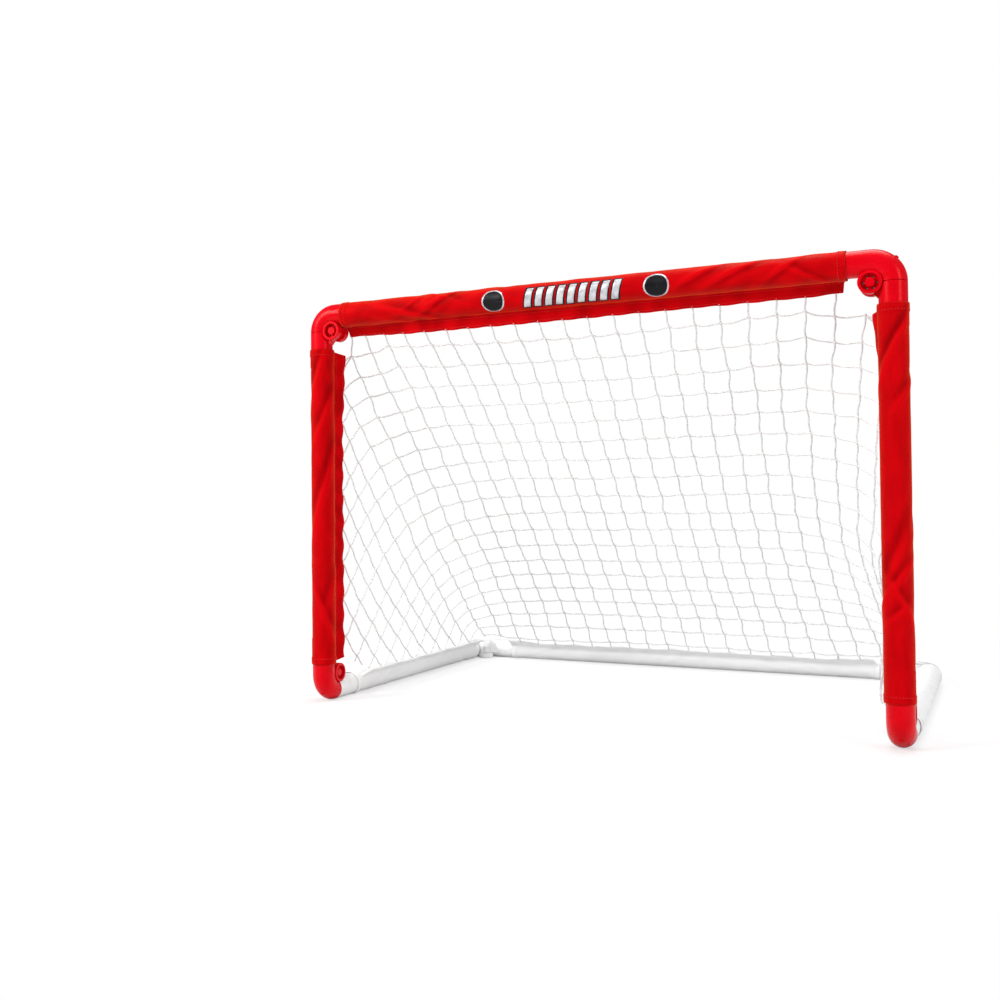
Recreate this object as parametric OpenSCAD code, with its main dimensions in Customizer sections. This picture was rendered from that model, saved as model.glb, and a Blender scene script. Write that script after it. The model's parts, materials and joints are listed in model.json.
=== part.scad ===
// Folding goal for mini hockey: a front arch of three pipes in red fabric sleeves and a base of
// three pipes in white sleeves, joined by six moulded corner hinges. The base folds up flat
// behind the arch about the pins of the two bottom corners. A net closes the back and the sides.
// Millimetres, +Z up, mouth towards -Y, origin on the floor below the middle of the goal.

/* [Goal] */
// Width over the corner mouldings
goal_w = 712; // [560:1:900]
// Height from the floor to the top of the upper corner mouldings
goal_h = 508; // [400:1:700]
// Depth over the corner mouldings, front to rear
goal_d = 508; // [400:1:700]

/* [Pipes] */
// Outside diameter of every pipe
pipe_od = 25.4; // [22:0.1:30]
// Wall of every pipe
pipe_wall = 1.2; // [0.8:0.1:2]
// Gap between a pipe's end and the shoulder in its moulding
pipe_end_gap = 0.2; // [0.1:0.1:0.8]

/* [Corner mouldings] */
// Wall of a moulding round the pipe it holds
moulding_wall = 1.2; // [1.1:0.1:2.5]
// Radial clearance of a pipe in its moulding
seat_gap = 0.1; // [0.05:0.05:0.3]
// Radius of an elbow's bend along the middle of the moulding
bend_r = 21; // [20.5:0.5:23]
// Length of an elbow's straight leg, and of a socket, from the hinge pin
leg_len = 45; // [38:1:70]
// Solid length of a moulding between the hinge pin and the pipe's shoulder
plug_len = 11; // [10.5:0.5:16]
// Radius of the straight core that lightens an elbow
core_r = 10; // [7:0.5:11]
// Distance by which the core reaches past the hinge pin into the bend
core_depth = 7; // [0:0.5:9]
// Width of the parting seam between an elbow and its socket
seam_gap = 0.3; // [0.1:0.05:0.6]
// Chamfer on the mouths and seam edges of the mouldings
edge_chamfer = 0.6; // [0.2:0.1:0.9]
// Depth of the flat on which a lower moulding stands
foot_flat = 0.5; // [0.2:0.1:0.6]
// Radius of the gate stub left on the outside of each bend
gate_r = 2.2; // [1.5:0.1:4]
// Height of the gate stub
gate_h = 1.4; // [0.6:0.1:2.5]

/* [Folding hinges] */
// Radius of a hinge pin
pin_r = 3; // [2:0.1:3.4]
// Radial running clearance of the pin in its bores
pin_gap = 0.05; // [0.02:0.01:0.1]
// Radius of the knuckle with its two cups
knuckle_r = 12; // [11:0.5:13]
// Length of the knuckle along its pin
knuckle_len = 26; // [24:0.5:27]
// Wall of the rim round each cup
rim_wall = 3; // [2:0.1:3.4]
// Depth of each cup
cup_depth = 6; // [4:0.5:6.5]
// Thickness of the socket's eye between the knuckle's cheeks
eye_len = 10; // [8:0.5:10.5]
// Radius of the socket's eye
eye_r = 8.2; // [7.9:0.1:8.3]
// Clearance between the eye and the slot in the knuckle
eye_gap = 0.3; // [0.2:0.05:0.4]
// Clearance between the knuckle's cheeks and the scallop in the socket
cheek_gap = 0.5; // [0.3:0.1:0.8]
// Radius of the pin's head and of its cap
hub_r = 5; // [4.5:0.1:5.2]
// Height of the head and the cap above the floor of the cup
hub_h = 4.4; // [2:0.1:5]
// Gap under the pin's head and under its cap
hub_gap = 0.1; // [0.05:0.05:0.2]
// Length of pin that the cap grips
cap_grip = 3; // [1.5:0.1:3.5]
// Radius of the round windows in the floor of each cup
window_r = 1.1; // [0.8:0.1:1.2]
// Number of windows in each cup
window_count = 6; // [3:1:6]

/* [Fabric sleeves] */
// Thickness of a sleeve's wall
fabric_t = 1; // [0.6:0.1:2]
// Gap between a sleeve and what carries it
fabric_gap = 0.3; // [0.2:0.05:0.4]
// Distance by which the net pulls the slack front sleeves off centre
sleeve_slack = 0.7; // [0:0.1:1.5]
// Width of the hem at each end of a sleeve
hem_w = 9; // [5:1:15]
// Height of the hem above the sleeve
hem_t = 0.4; // [0.2:0.1:1]
// Width of the sewn flap that holds the net's edge
flap_w = 15; // [8:0.5:16]
// Thickness of the flap
flap_t = 2.4; // [1.2:0.1:3]
// Length by which a post or rail flap stops short of its sleeve's ends
flap_inset = 11; // [0:1:30]
// Turn of the post flaps from straight back towards the inside
post_flap_turn = 53; // [53:1:70]
// Tilt of the crossbar flap from straight down towards the rear
bar_flap_tilt = 25; // [0:1:35]
// Rise of the rear flap from level, towards the mouth
rear_flap_rise = 45; // [35:1:60]
// Bare moulding between the left top hinge pin and the crossbar sleeve
bar_bare_left = 13; // [13:1:60]
// Bare moulding between the right top hinge pin and the crossbar sleeve
bar_bare_right = 31; // [13:1:60]
// Bare moulding between a top hinge pin and the post sleeve
post_bare_top = 22.5; // [13:0.5:40]
// Bare moulding between a bottom hinge pin and the post sleeve
post_bare_low = 13; // [13:0.5:40]
// Clearance between the end of a socket and the rail sleeve behind it
rail_bare_front = 0.5; // [0.3:0.1:30]
// Bare moulding between a rear hinge pin and the rail sleeve
rail_bare_rear = 13; // [13:0.5:40]
// Bare pipe between the end of a rear socket and the rear sleeve
rear_bare = 27; // [0.5:0.5:60]

/* [Net] */
// Thickness of the twine
twine = 2.4; // [1.5:0.1:4]
// Thickness of the net across its face
net_t = 2; // [1:0.1:3]
// Meshes across the straight middle of the back net
back_across = 10; // [4:1:10]
// Meshes of the back net round each of its corners
corner_across = 4; // [2:1:4]
// Meshes up the back net
back_up = 16; // [4:1:16]
// Sag of the back net's middle
net_sag = 12; // [0:1:20]
// Share by which the sag shifts from halfway up towards the floor
sag_low = 0.7; // [0:0.1:0.8]
// Width of the round corner that the back net makes on its way to each side
corner_w = 110; // [60:5:140]
// Depth of that corner halfway up
corner_d = 85; // [50:5:90]
// Gap between the net's edge and the flap it is sewn to
stitch_gap = 0.3; // [0.2:0.05:0.5]

/* [Hidden] */
$fn = 64;
RED = [0.86, 0.05, 0.09];
WHITE = [0.93, 0.93, 0.95];
NET_WHITE = [0.97, 0.97, 0.97];
cut = 1; // how far a cutting shape runs past the surface it opens

// Sections shared by pipes, mouldings and sleeves
pipe_r = pipe_od / 2;
seat_r = pipe_r + seat_gap;
corner_r = seat_r + moulding_wall;
hollow_r = pipe_r - pipe_wall;
sleeve_in_r = corner_r + fabric_gap + sleeve_slack;
sleeve_r = sleeve_in_r + fabric_t;
flap_reach = sleeve_r + flap_w;
// The base sleeves hang up on their pipes, so the fabric below a pipe stays thin
base_lift = sleeve_in_r - pipe_r - fabric_gap;

// From a sleeve's axis to the middle of its flap's round edge
tip_reach = flap_reach - flap_t / 2;
slack_tip_reach = tip_reach + sleeve_slack;
// Turn of the rail flaps from straight up that brings both flaps' edges into the side net's plane
net_inset = slack_tip_reach * sin(post_flap_turn);
rail_flap_turn = asin(net_inset / tip_reach);

// The arch reaches further forward than the base reaches back: both are centred together
front_reach = sleeve_r - sleeve_slack * sin(bar_flap_tilt) + hem_t;
rear_reach = sleeve_r + hem_t;
depth_shift = (front_reach - rear_reach) / 2;

// Axes of the pipes
post_x = goal_w / 2 - corner_r;
front_y = depth_shift - (goal_d / 2 - corner_r);
rear_y = depth_shift + goal_d / 2 - corner_r;
bar_z = goal_h - corner_r;
rail_z = corner_r - foot_flat;

// Hinge pins: at the centre of each elbow's bend
hinge_x = post_x - bend_r;
top_pin_z = bar_z - bend_r;
low_pin_y = front_y + bend_r;
low_pin_z = rail_z + bend_r;
rear_pin_y = rear_y - bend_r;

// Hinge parts, measured from the middle of the pin
cheek_in = eye_len / 2 + eye_gap;
cup_floor = knuckle_len / 2 - cup_depth;
hub_top = cup_floor + hub_h;
window_ring = hub_r + (knuckle_r - rim_wall - hub_r) / 2 - (eye_gap + edge_chamfer) / 2;

// Pipes run from shoulder to shoulder
pipe_inset = plug_len + pipe_end_gap;
bar_len = 2 * (hinge_x - pipe_inset);
post_len = top_pin_z - low_pin_z - 2 * pipe_inset;
rail_len = rear_pin_y - low_pin_y - 2 * pipe_inset;

// Middles of the flaps' round edges, to which the nets are sewn
bar_tip = [front_y + slack_tip_reach * sin(bar_flap_tilt),
           bar_z - slack_tip_reach * cos(bar_flap_tilt)];
rear_tip = [rear_y - tip_reach * cos(rear_flap_rise),
            rail_z + base_lift + tip_reach * sin(rear_flap_rise)];
post_tip_y = front_y + slack_tip_reach * cos(post_flap_turn);
rail_tip_z = rail_z + base_lift + tip_reach * cos(rail_flap_turn);
net_start = flap_t / 2 + stitch_gap;

// The slope that the back net follows, with the directions down it and in from it
slope_run = rear_tip[0] - bar_tip[0];
slope_rise = bar_tip[1] - rear_tip[1];
slope_angle = atan2(slope_rise, slope_run);
slope_len = norm([slope_run, slope_rise]);
down = [0, cos(slope_angle), -sin(slope_angle)];
inward = [0, -sin(slope_angle), -cos(slope_angle)];
net_x = post_x - net_inset;

// Pitch of the side nets' meshes across and along the slope, from twine to twine. The rows are
// those of the back net.
row_pitch = (slope_len - 2 * net_start - twine) / back_up;
mesh_pitch = [corner_d / round(corner_d / row_pitch), row_pitch];
// Distance in from the back net's edge at which a side net starts, where that edge slants most
side_slant = norm([1, 4 * corner_d / slope_len]);

// ---- Placing -------------------------------------------------------------------------------

// Builds a right-hand piece on the right, or its mirror image on the left
module on_side(side) {
    if (side > 0) children();
    else mirror([1, 0, 0]) children();
}

// The three kinds of corner. Each places a hinge whose pin lies along Y at the origin, whose
// elbow leg runs towards -X and whose socket runs towards -Z.
module top_corner(side) {
    on_side(side) translate([hinge_x, front_y, top_pin_z]) children();
}

module bottom_corner(side) {
    on_side(side) translate([post_x, low_pin_y, low_pin_z]) rotate([90, 90, 0]) children();
}

module rear_corner(side) {
    on_side(side) translate([hinge_x, rear_pin_y, rail_z]) rotate([90, 0, 90]) children();
}

// Takes away all that lies below the floor
module stands_on_floor() {
    difference() {
        children();
        translate([-goal_w, -goal_d, -2 * sleeve_r])
            cube([2 * goal_w, 2 * goal_d, 2 * sleeve_r]);
    }
}

// A bar about the hinge pin, from y0 to y1
module round_pin(r, y0, y1) {
    translate([0, y1, 0]) rotate([90, 0, 0]) cylinder(r = r, h = y1 - y0);
}

// A round bar along +Z with a chamfer at each end
module chamfered_bar(r, h, low, high) {
    rotate_extrude() polygon([[0, 0], [r - low, 0], [r, low], [r, h - high], [r - high, h], [0, h]]);
}

// ---- Corner mouldings ----------------------------------------------------------------------

// The quarter bend of an elbow, from the leg round to the parting seam
module bend() {
    rotate([90, 0, 0]) rotate_extrude(angle = 90) translate([bend_r, 0]) circle(r = corner_r);
}

// Anything that lies along the leg of an elbow, drawn along +Z from the hinge pin
module along_leg() {
    translate([0, 0, bend_r]) rotate([0, -90, 0]) children();
}

module knuckle_blank() {
    translate([0, knuckle_len / 2, 0]) rotate([90, 0, 0])
        chamfered_bar(knuckle_r, knuckle_len, edge_chamfer, edge_chamfer);
}

// The bore for the pin and the ring of windows, through whatever lies on the hinge
module hinge_bores() {
    round_pin(pin_r + pin_gap, -knuckle_len, knuckle_len);
    for (i = [0 : window_count - 1])
        rotate([0, i * 360 / window_count, 0]) translate([window_ring, 0, 0])
            round_pin(window_r, -knuckle_len, knuckle_len);
}

// The cups in both ends of the knuckle
module cups() {
    for (y = [-knuckle_len / 2 - cut, cup_floor])
        round_pin(knuckle_r - rim_wall, y, y + cup_depth + cut);
}

// Room between the cheeks for the socket's eye, open over its whole swing
module eye_slot() {
    round_pin(eye_r + eye_gap, -cheek_in, cheek_in);
    translate([-knuckle_r - cut, -cheek_in, -knuckle_r - cut])
        cube([2 * (knuckle_r + cut), 2 * cheek_in, knuckle_r + cut]);
}

// The stub where the moulding left its gate, on the outside of the bend
module gate_stub() {
    rotate([0, 45, 0]) translate([0, 0, bend_r + corner_r - cut])
        chamfered_bar(gate_r, cut + gate_h, 0, edge_chamfer);
}

// A quarter bend with a leg that holds a pipe and a knuckle with a cup in each end
module elbow() {
    difference() {
        union() {
            along_leg() chamfered_bar(corner_r, leg_len, 0, edge_chamfer);
            bend();
            knuckle_blank();
            gate_stub();
        }
        along_leg() translate([0, 0, -core_depth]) cylinder(r = core_r, h = leg_len + core_depth);
        along_leg() translate([0, 0, plug_len]) cylinder(r = seat_r, h = leg_len);
        eye_slot();
        cups();
        hinge_bores();
    }
}

// The eye with the web that ties it to the socket
module socket_eye() {
    shoulder = bend_r - corner_r + 2 * edge_chamfer;
    round_pin(eye_r, -eye_len / 2, eye_len / 2);
    translate([0, eye_len / 2, 0]) rotate([90, 0, 0]) linear_extrude(eye_len)
        polygon([[0, -seam_gap], [shoulder, -seam_gap], [shoulder, -knuckle_r - shoulder / 2],
                 [bend_r - corner_r, -knuckle_r - shoulder / 2], [0, -eye_r]]);
}

// A socket that holds a pipe and swings on its eye, with a scallop for the knuckle's cheeks
module socket() {
    difference() {
        union() {
            translate([bend_r, 0, -leg_len])
                chamfered_bar(corner_r, leg_len - seam_gap, edge_chamfer, edge_chamfer);
            socket_eye();
        }
        for (y = [-corner_r - cut, eye_len / 2])
            round_pin(knuckle_r + cheek_gap, y, y + corner_r + cut - eye_len / 2);
        translate([bend_r, 0, -leg_len - cut])
            cylinder(r = seat_r, h = leg_len - plug_len + cut);
        hinge_bores();
    }
}

// A headed pin with a plain tip that passes both cheeks and the eye
module hinge_pin() {
    round_pin(pin_r, -cup_floor - hub_gap - cut, cup_floor + cap_grip);
    translate([0, -cup_floor - hub_gap, 0]) rotate([90, 0, 0])
        chamfered_bar(hub_r, hub_h - hub_gap, 0, edge_chamfer);
}

// The cap pressed over the tip of the pin
module pin_cap() {
    difference() {
        translate([0, hub_top, 0]) rotate([90, 0, 0])
            chamfered_bar(hub_r, hub_h - hub_gap, edge_chamfer, 0);
        round_pin(pin_r + pin_gap, cup_floor - cut, cup_floor + cap_grip + hub_gap);
    }
}

module pipe(len) {
    difference() {
        cylinder(r = pipe_r, h = len);
        translate([0, 0, -cut]) cylinder(r = hollow_r, h = len + 2 * cut);
    }
}

// ---- Fabric sleeves ------------------------------------------------------------------------

// A hemmed tube along +Z with its flap towards +X
module sleeve(len, inset) {
    difference() {
        union() {
            cylinder(r = sleeve_r, h = len);
            for (z = [0, len - hem_w]) translate([0, 0, z])
                cylinder(r = sleeve_r + hem_t, h = hem_w);
            translate([sleeve_in_r + fabric_t / 2, -flap_t / 2, inset])
                cube([flap_w + (fabric_t - flap_t) / 2, flap_t, len - 2 * inset]);
            translate([flap_reach - flap_t / 2, 0, inset])
                cylinder(r = flap_t / 2, h = len - 2 * inset);
        }
        translate([0, 0, -cut]) cylinder(r = sleeve_in_r, h = len + 2 * cut);
    }
}

module crossbar_cover() {
    translate([-hinge_x + bar_bare_left, front_y, bar_z]) rotate([0, 90, 0])
        rotate([0, 0, bar_flap_tilt]) translate([sleeve_slack, 0, 0])
            sleeve(2 * hinge_x - bar_bare_left - bar_bare_right, 0);
}

module post_cover() {
    translate([post_x, front_y, low_pin_z + post_bare_low])
        rotate([0, 0, 90 + post_flap_turn]) translate([sleeve_slack, 0, 0])
            sleeve(top_pin_z - post_bare_top - low_pin_z - post_bare_low, flap_inset);
}

// The rail sleeve is split underneath where it covers the elbow, which stands on the floor
module rail_cover() {
    start = low_pin_y + leg_len + rail_bare_front;
    end = rear_pin_y - rail_bare_rear;
    stands_on_floor() difference() {
        translate([post_x, start, rail_z + base_lift]) rotate([-90, 0, 0])
            rotate([0, 0, -90 - rail_flap_turn]) sleeve(end - start, flap_inset);
        translate([post_x, rear_pin_y - leg_len - fabric_gap, rail_z]) rotate([-90, 0, 0])
            cylinder(r = corner_r + fabric_gap, h = leg_len);
    }
}

module rear_cover() {
    half = hinge_x - leg_len - rear_bare;
    stands_on_floor() translate([-half, rear_y, rail_z + base_lift]) rotate([0, 90, 0])
        rotate([0, 0, -90 - rear_flap_rise]) sleeve(2 * half, 0);
}

// ---- Nets ----------------------------------------------------------------------------------

// The back net hangs in a bag. It is straight across its middle and turns through a quarter
// ellipse at each corner, which is deepest halfway up. Its knots lie in columns i and rows j.
columns = back_across + 2 * corner_across;
function row_s(j) = net_start + twine / 2 + j * row_pitch;
function row_share(j) = row_s(j) / slope_len;
function slack(j) = 4 * row_share(j) * (1 - row_share(j));
function middle_drop(j) = net_sag * slack(j) * (1 + sag_low * (2 * row_share(j) - 1));
function corner_drop(j) = corner_d * slack(j);
function column_turn(i) = 90 / corner_across
    * (min(i - corner_across, 0) + max(i - corner_across - back_across, 0));
function column_x(i) = corner_w * sin(column_turn(i))
    + (net_x - corner_w) * max(-1, min(1, 2 * (i - corner_across) / back_across - 1));
function knot_drop(i, j) = corner_drop(j) + (middle_drop(j) - corner_drop(j)) * cos(column_turn(i));
function knot_middle(i, j) = [column_x(i), bar_tip[0], bar_tip[1]] + row_s(j) * down
    + knot_drop(i, j) * inward;

// A knot's eight corners, first the four of its inner face
function knot_corners(i, j) = let (
        turn = column_turn(i),
        across = [cos(turn), 0, 0] + sin(turn) * inward,
        through = [-sin(turn), 0, 0] + cos(turn) * inward
    ) [for (side = [1, -1], c = [[-1, -1], [1, -1], [1, 1], [-1, 1]])
        knot_middle(i, j) + twine / 2 * (c[0] * across + c[1] * down) + side * net_t / 2 * through];

// The faces of a knot k, and those of the twines to the next knot across, r, and down, d. Where
// there is no next knot, the knot is closed by an end face.
function halves(q) = [[q[0], q[1], q[2]], [q[0], q[2], q[3]]];
function own_faces(k) = concat(halves([k + 7, k + 6, k + 5, k + 4]), halves([k, k + 1, k + 2, k + 3]));
function twine_across(k, r) = concat(
    halves([k + 6, r + 7, r + 4, k + 5]), halves([k + 1, r, r + 3, k + 2]),
    halves([k + 5, r + 4, r, k + 1]), halves([r + 7, k + 6, k + 2, r + 3]));
function twine_down(k, d) = concat(
    halves([d + 4, d + 5, k + 6, k + 7]), halves([k + 3, k + 2, d + 1, d]),
    halves([d + 4, k + 7, k + 3, d]), halves([k + 6, d + 5, d + 1, k + 2]));
function knot_faces(i, j) = let (k = 8 * (j * (columns + 1) + i)) concat(
    own_faces(k),
    i < columns ? twine_across(k, k + 8) : halves([k + 5, k + 6, k + 2, k + 1]),
    j < back_up ? twine_down(k, k + 8 * (columns + 1)) : halves([k + 6, k + 7, k + 3, k + 2]),
    i > 0 ? [] : halves([k + 7, k + 4, k, k + 3]),
    j > 0 ? [] : halves([k + 4, k + 5, k + 1, k]));

module back_panel() {
    polyhedron(
        points = [for (j = [0 : back_up], i = [0 : columns]) each knot_corners(i, j)],
        faces = [for (j = [0 : back_up], i = [0 : columns]) each knot_faces(i, j)]);
}

// The twines of a side net: nx along the slope, and one for each row of the back net
module side_twines(nx) {
    for (i = [0 : nx]) translate([i * mesh_pitch[0] - twine / 2, 0]) square([twine, slope_len]);
    for (j = [0 : back_up])
        translate([0, slope_len - row_s(j) - twine / 2]) square([nx * mesh_pitch[0], twine]);
}

// A right triangle with legs a and b, all its edges moved in by w
module inset_triangle(a, b, w) {
    k = 1 - w * norm([1 / a, 1 / b]);
    polygon([[w, w], [a * (k - w / b), w], [w, b * (k - w / a)]]);
}

// What the back net covers of a side, with its edge moved in by w. Drawn up the slope along +Y,
// with the inside of the goal towards +X.
module wrapped(w) {
    reach = w * side_slant;
    polygon(concat(
        [[-goal_d, -goal_d], [reach, -goal_d]],
        [for (j = [back_up : -1 : 0]) [corner_drop(j) + reach, slope_len - row_s(j)]],
        [[reach, slope_len + goal_d], [-goal_d, slope_len + goal_d]]));
}

// The side net fills the triangle between the post, the rail and the edge of the back net. Its
// meshes run along and across the slope, in line with the rows of the back net.
module side_panel() {
    low = [post_tip_y + net_start, rail_tip_z + net_start];
    run = bar_tip[0] - low[0] + (bar_tip[1] - low[1]) * slope_run / slope_rise;
    rise = run * slope_rise / slope_run;
    border = twine / 2 + stitch_gap;
    translate([net_x, low[0], low[1]]) rotate([90, 0, 90]) translate([0, 0, -net_t / 2])
        linear_extrude(net_t) difference() {
            inset_triangle(run, rise, 0);
            translate(rear_tip - low) rotate(90 - slope_angle) mirror([1, 0]) wrapped(border);
            difference() {
                inset_triangle(run, rise, twine);
                translate(rear_tip - low) rotate(90 - slope_angle) mirror([1, 0]) {
                    wrapped(border + twine);
                    side_twines(ceil(run * sin(slope_angle) / mesh_pitch[0]));
                }
            }
        }
}

// ---- Parts of the goal ---------------------------------------------------------------------

module crossbar_pipe() {
    color(RED) translate([-bar_len / 2, front_y, bar_z]) rotate([0, 90, 0]) pipe(bar_len);
}

module post_pipe(side) {
    color(RED) on_side(side) translate([post_x, front_y, low_pin_z + pipe_inset]) pipe(post_len);
}

module rail_pipe(side) {
    color(WHITE) on_side(side) translate([post_x, low_pin_y + pipe_inset, rail_z])
        rotate([-90, 0, 0]) pipe(rail_len);
}

module rear_bar_pipe() {
    color(WHITE) translate([-bar_len / 2, rear_y, rail_z]) rotate([0, 90, 0]) pipe(bar_len);
}

module top_elbow(side) {
    color(RED) top_corner(side) elbow();
}

module bottom_elbow(side) {
    color(RED) stands_on_floor() bottom_corner(side) elbow();
}

module rear_elbow(side) {
    color(WHITE) stands_on_floor() rear_corner(side) elbow();
}

module top_socket(side) {
    color(RED) top_corner(side) socket();
}

module bottom_socket(side) {
    color(WHITE) stands_on_floor() bottom_corner(side) socket();
}

module rear_socket(side) {
    color(WHITE) stands_on_floor() rear_corner(side) socket();
}

module front_hinge_pins() {
    color(RED) for (side = [-1, 1]) {
        top_corner(side) hinge_pin();
        bottom_corner(side) hinge_pin();
    }
}

module front_pin_caps() {
    color(RED) for (side = [-1, 1]) {
        top_corner(side) pin_cap();
        bottom_corner(side) pin_cap();
    }
}

module rear_hinge_pins() {
    color(WHITE) for (side = [-1, 1]) rear_corner(side) hinge_pin();
}

module rear_pin_caps() {
    color(WHITE) for (side = [-1, 1]) rear_corner(side) pin_cap();
}

module crossbar_sleeve() {
    color(RED) crossbar_cover();
}

module post_sleeve(side) {
    color(RED) on_side(side) post_cover();
}

module rail_sleeve(side) {
    color(WHITE) on_side(side) rail_cover();
}

module rear_bar_sleeve() {
    color(WHITE) rear_cover();
}

module back_net() {
    color(NET_WHITE) back_panel();
}

module side_net(side) {
    color(NET_WHITE) on_side(side) side_panel();
}

crossbar_pipe();
post_pipe(-1);  // left_post_pipe
post_pipe(1);  // right_post_pipe
rail_pipe(-1);  // left_rail_pipe
rail_pipe(1);  // right_rail_pipe
rear_bar_pipe();
top_elbow(-1);  // top_left_elbow
top_elbow(1);  // top_right_elbow
bottom_elbow(-1);  // bottom_left_elbow
bottom_elbow(1);  // bottom_right_elbow
rear_elbow(-1);  // rear_left_elbow
rear_elbow(1);  // rear_right_elbow
top_socket(-1);  // top_left_socket
top_socket(1);  // top_right_socket
bottom_socket(-1);  // bottom_left_socket
bottom_socket(1);  // bottom_right_socket
rear_socket(-1);  // rear_left_socket
rear_socket(1);  // rear_right_socket
front_hinge_pins();
front_pin_caps();
rear_hinge_pins();
rear_pin_caps();
crossbar_sleeve();
post_sleeve(-1);  // left_post_sleeve
post_sleeve(1);  // right_post_sleeve
rail_sleeve(-1);  // left_rail_sleeve
rail_sleeve(1);  // right_rail_sleeve
rear_bar_sleeve();
back_net();
side_net(-1);  // left_side_net
side_net(1);  // right_side_net
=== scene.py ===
"""Looks of a folding goal for mini hockey: moulded corners, fabric sleeves and a knotted net.

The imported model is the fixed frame. The sleeves and the net are built here and stand for its
plain soft solids; the mouldings, pipes, pins and caps keep their solids and get their finishes.
Metres, +Z up, mouth towards -Y, origin on the floor below the middle of the goal.
"""

import json  # noqa: E402
import logging  # noqa: E402
import math  # noqa: E402
from dataclasses import dataclass, field  # noqa: E402
from enum import Enum  # noqa: E402
from typing import Sequence  # noqa: E402

import bpy  # noqa: E402
import numpy as np  # noqa: E402
from mathutils import Matrix, Vector  # noqa: E402

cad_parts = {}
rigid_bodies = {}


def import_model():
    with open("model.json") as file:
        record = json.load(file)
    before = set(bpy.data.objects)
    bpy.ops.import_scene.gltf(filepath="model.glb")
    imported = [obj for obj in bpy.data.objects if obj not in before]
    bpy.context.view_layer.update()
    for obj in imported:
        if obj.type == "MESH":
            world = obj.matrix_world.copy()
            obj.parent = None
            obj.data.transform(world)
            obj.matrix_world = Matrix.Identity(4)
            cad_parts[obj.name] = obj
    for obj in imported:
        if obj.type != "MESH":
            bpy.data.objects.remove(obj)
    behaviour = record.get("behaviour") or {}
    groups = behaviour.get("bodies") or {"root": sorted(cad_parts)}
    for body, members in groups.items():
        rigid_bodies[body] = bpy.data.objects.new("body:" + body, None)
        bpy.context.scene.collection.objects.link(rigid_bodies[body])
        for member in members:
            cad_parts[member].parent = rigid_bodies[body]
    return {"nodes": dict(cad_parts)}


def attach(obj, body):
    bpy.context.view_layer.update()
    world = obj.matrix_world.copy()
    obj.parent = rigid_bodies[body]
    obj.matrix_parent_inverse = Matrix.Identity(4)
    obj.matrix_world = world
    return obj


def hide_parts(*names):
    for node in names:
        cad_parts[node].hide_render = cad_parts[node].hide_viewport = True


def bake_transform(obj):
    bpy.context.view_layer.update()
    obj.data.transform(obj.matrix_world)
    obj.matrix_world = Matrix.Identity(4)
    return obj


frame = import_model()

LOG = logging.getLogger("goal")
Point = tuple[float, float, float]
MM = 0.001


class Body(Enum):
    """The two rigid bodies of the goal."""

    FRONT = "front_frame"
    BASE = "base_frame"


class Slot(Enum):
    """The record's material slots of the soft pieces; the sleeves keep theirs, and nothing reads
    them.
    """

    RED_FABRIC = "red_fabric"
    WHITE_FABRIC = "white_fabric"
    NET_TWINE = "net_twine"


# ---- Sizes shared with the solids ------------------------------------------------------------


@dataclass(frozen=True)
class Layout:
    """Where pipes, hinges and flaps lie. The values are those of the solids, in metres."""

    post_x: float = 342.0 * MM
    hinge_x: float = 321.0 * MM
    front_y: float = -240.148 * MM
    rear_y: float = 239.852 * MM
    bar_z: float = 494.0 * MM
    rail_z: float = 13.5 * MM
    top_pin_z: float = 473.0 * MM
    low_pin_y: float = -219.148 * MM
    low_pin_z: float = 34.5 * MM
    rear_pin_y: float = 218.852 * MM
    leg_len: float = 45.0 * MM
    pipe_r: float = 12.7 * MM
    corner_r: float = 14.0 * MM
    sleeve_r: float = 16.0 * MM
    sleeve_slack: float = 0.7 * MM
    base_lift: float = 2.0 * MM
    tip_reach: float = 29.8 * MM
    tip_r: float = 1.2 * MM
    bar_flap_tilt: float = math.radians(25)
    post_flap_turn: float = math.radians(53)
    rear_flap_rise: float = math.radians(45)

    @property
    def slack_reach(self) -> float:
        """From a front pipe's axis to the middle of its flap's round edge."""
        return self.tip_reach + self.sleeve_slack

    @property
    def net_x(self) -> float:
        """Distance of a side net from the middle of the goal."""
        return self.post_x - self.slack_reach * math.sin(self.post_flap_turn)

    @property
    def rail_flap_turn(self) -> float:
        """Turn of a rail flap from straight up towards the inside."""
        return math.asin((self.post_x - self.net_x) / self.tip_reach)

    @property
    def bar_tip(self) -> tuple[float, float]:
        """Y and Z of the crossbar flap's edge."""
        return (
            self.front_y + self.slack_reach * math.sin(self.bar_flap_tilt),
            self.bar_z - self.slack_reach * math.cos(self.bar_flap_tilt),
        )

    @property
    def rear_tip(self) -> tuple[float, float]:
        """Y and Z of the rear flap's edge."""
        return (
            self.rear_y - self.tip_reach * math.cos(self.rear_flap_rise),
            self.rail_z + self.base_lift + self.tip_reach * math.sin(self.rear_flap_rise),
        )

    @property
    def rail_edge_z(self) -> float:
        """Z at which a side net meets its rail's flap."""
        turn = self.rail_flap_turn
        return self.rail_z + self.base_lift + self.tip_reach * math.cos(turn) + self.tip_r


LAYOUT = Layout()


# ---- Mesh and node helpers -------------------------------------------------------------------


def smoothstep(t: np.ndarray | float) -> np.ndarray:
    """Smooth ramp from 0 to 1.

    Args:
        t: Where on the ramp, clipped to 0 and 1.

    Returns:
        The ramp's value.
    """
    t = np.clip(t, 0.0, 1.0)
    return t * t * (3 - 2 * t)


def linked_object(name: str, data: bpy.types.ID) -> bpy.types.Object:
    """Makes an object and puts it into the scene.

    Args:
        name: Its name.
        data: Its mesh, lamp or camera.

    Returns:
        The object.
    """
    obj = bpy.data.objects.new(name, data)
    bpy.context.scene.collection.objects.link(obj)
    return obj


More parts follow.
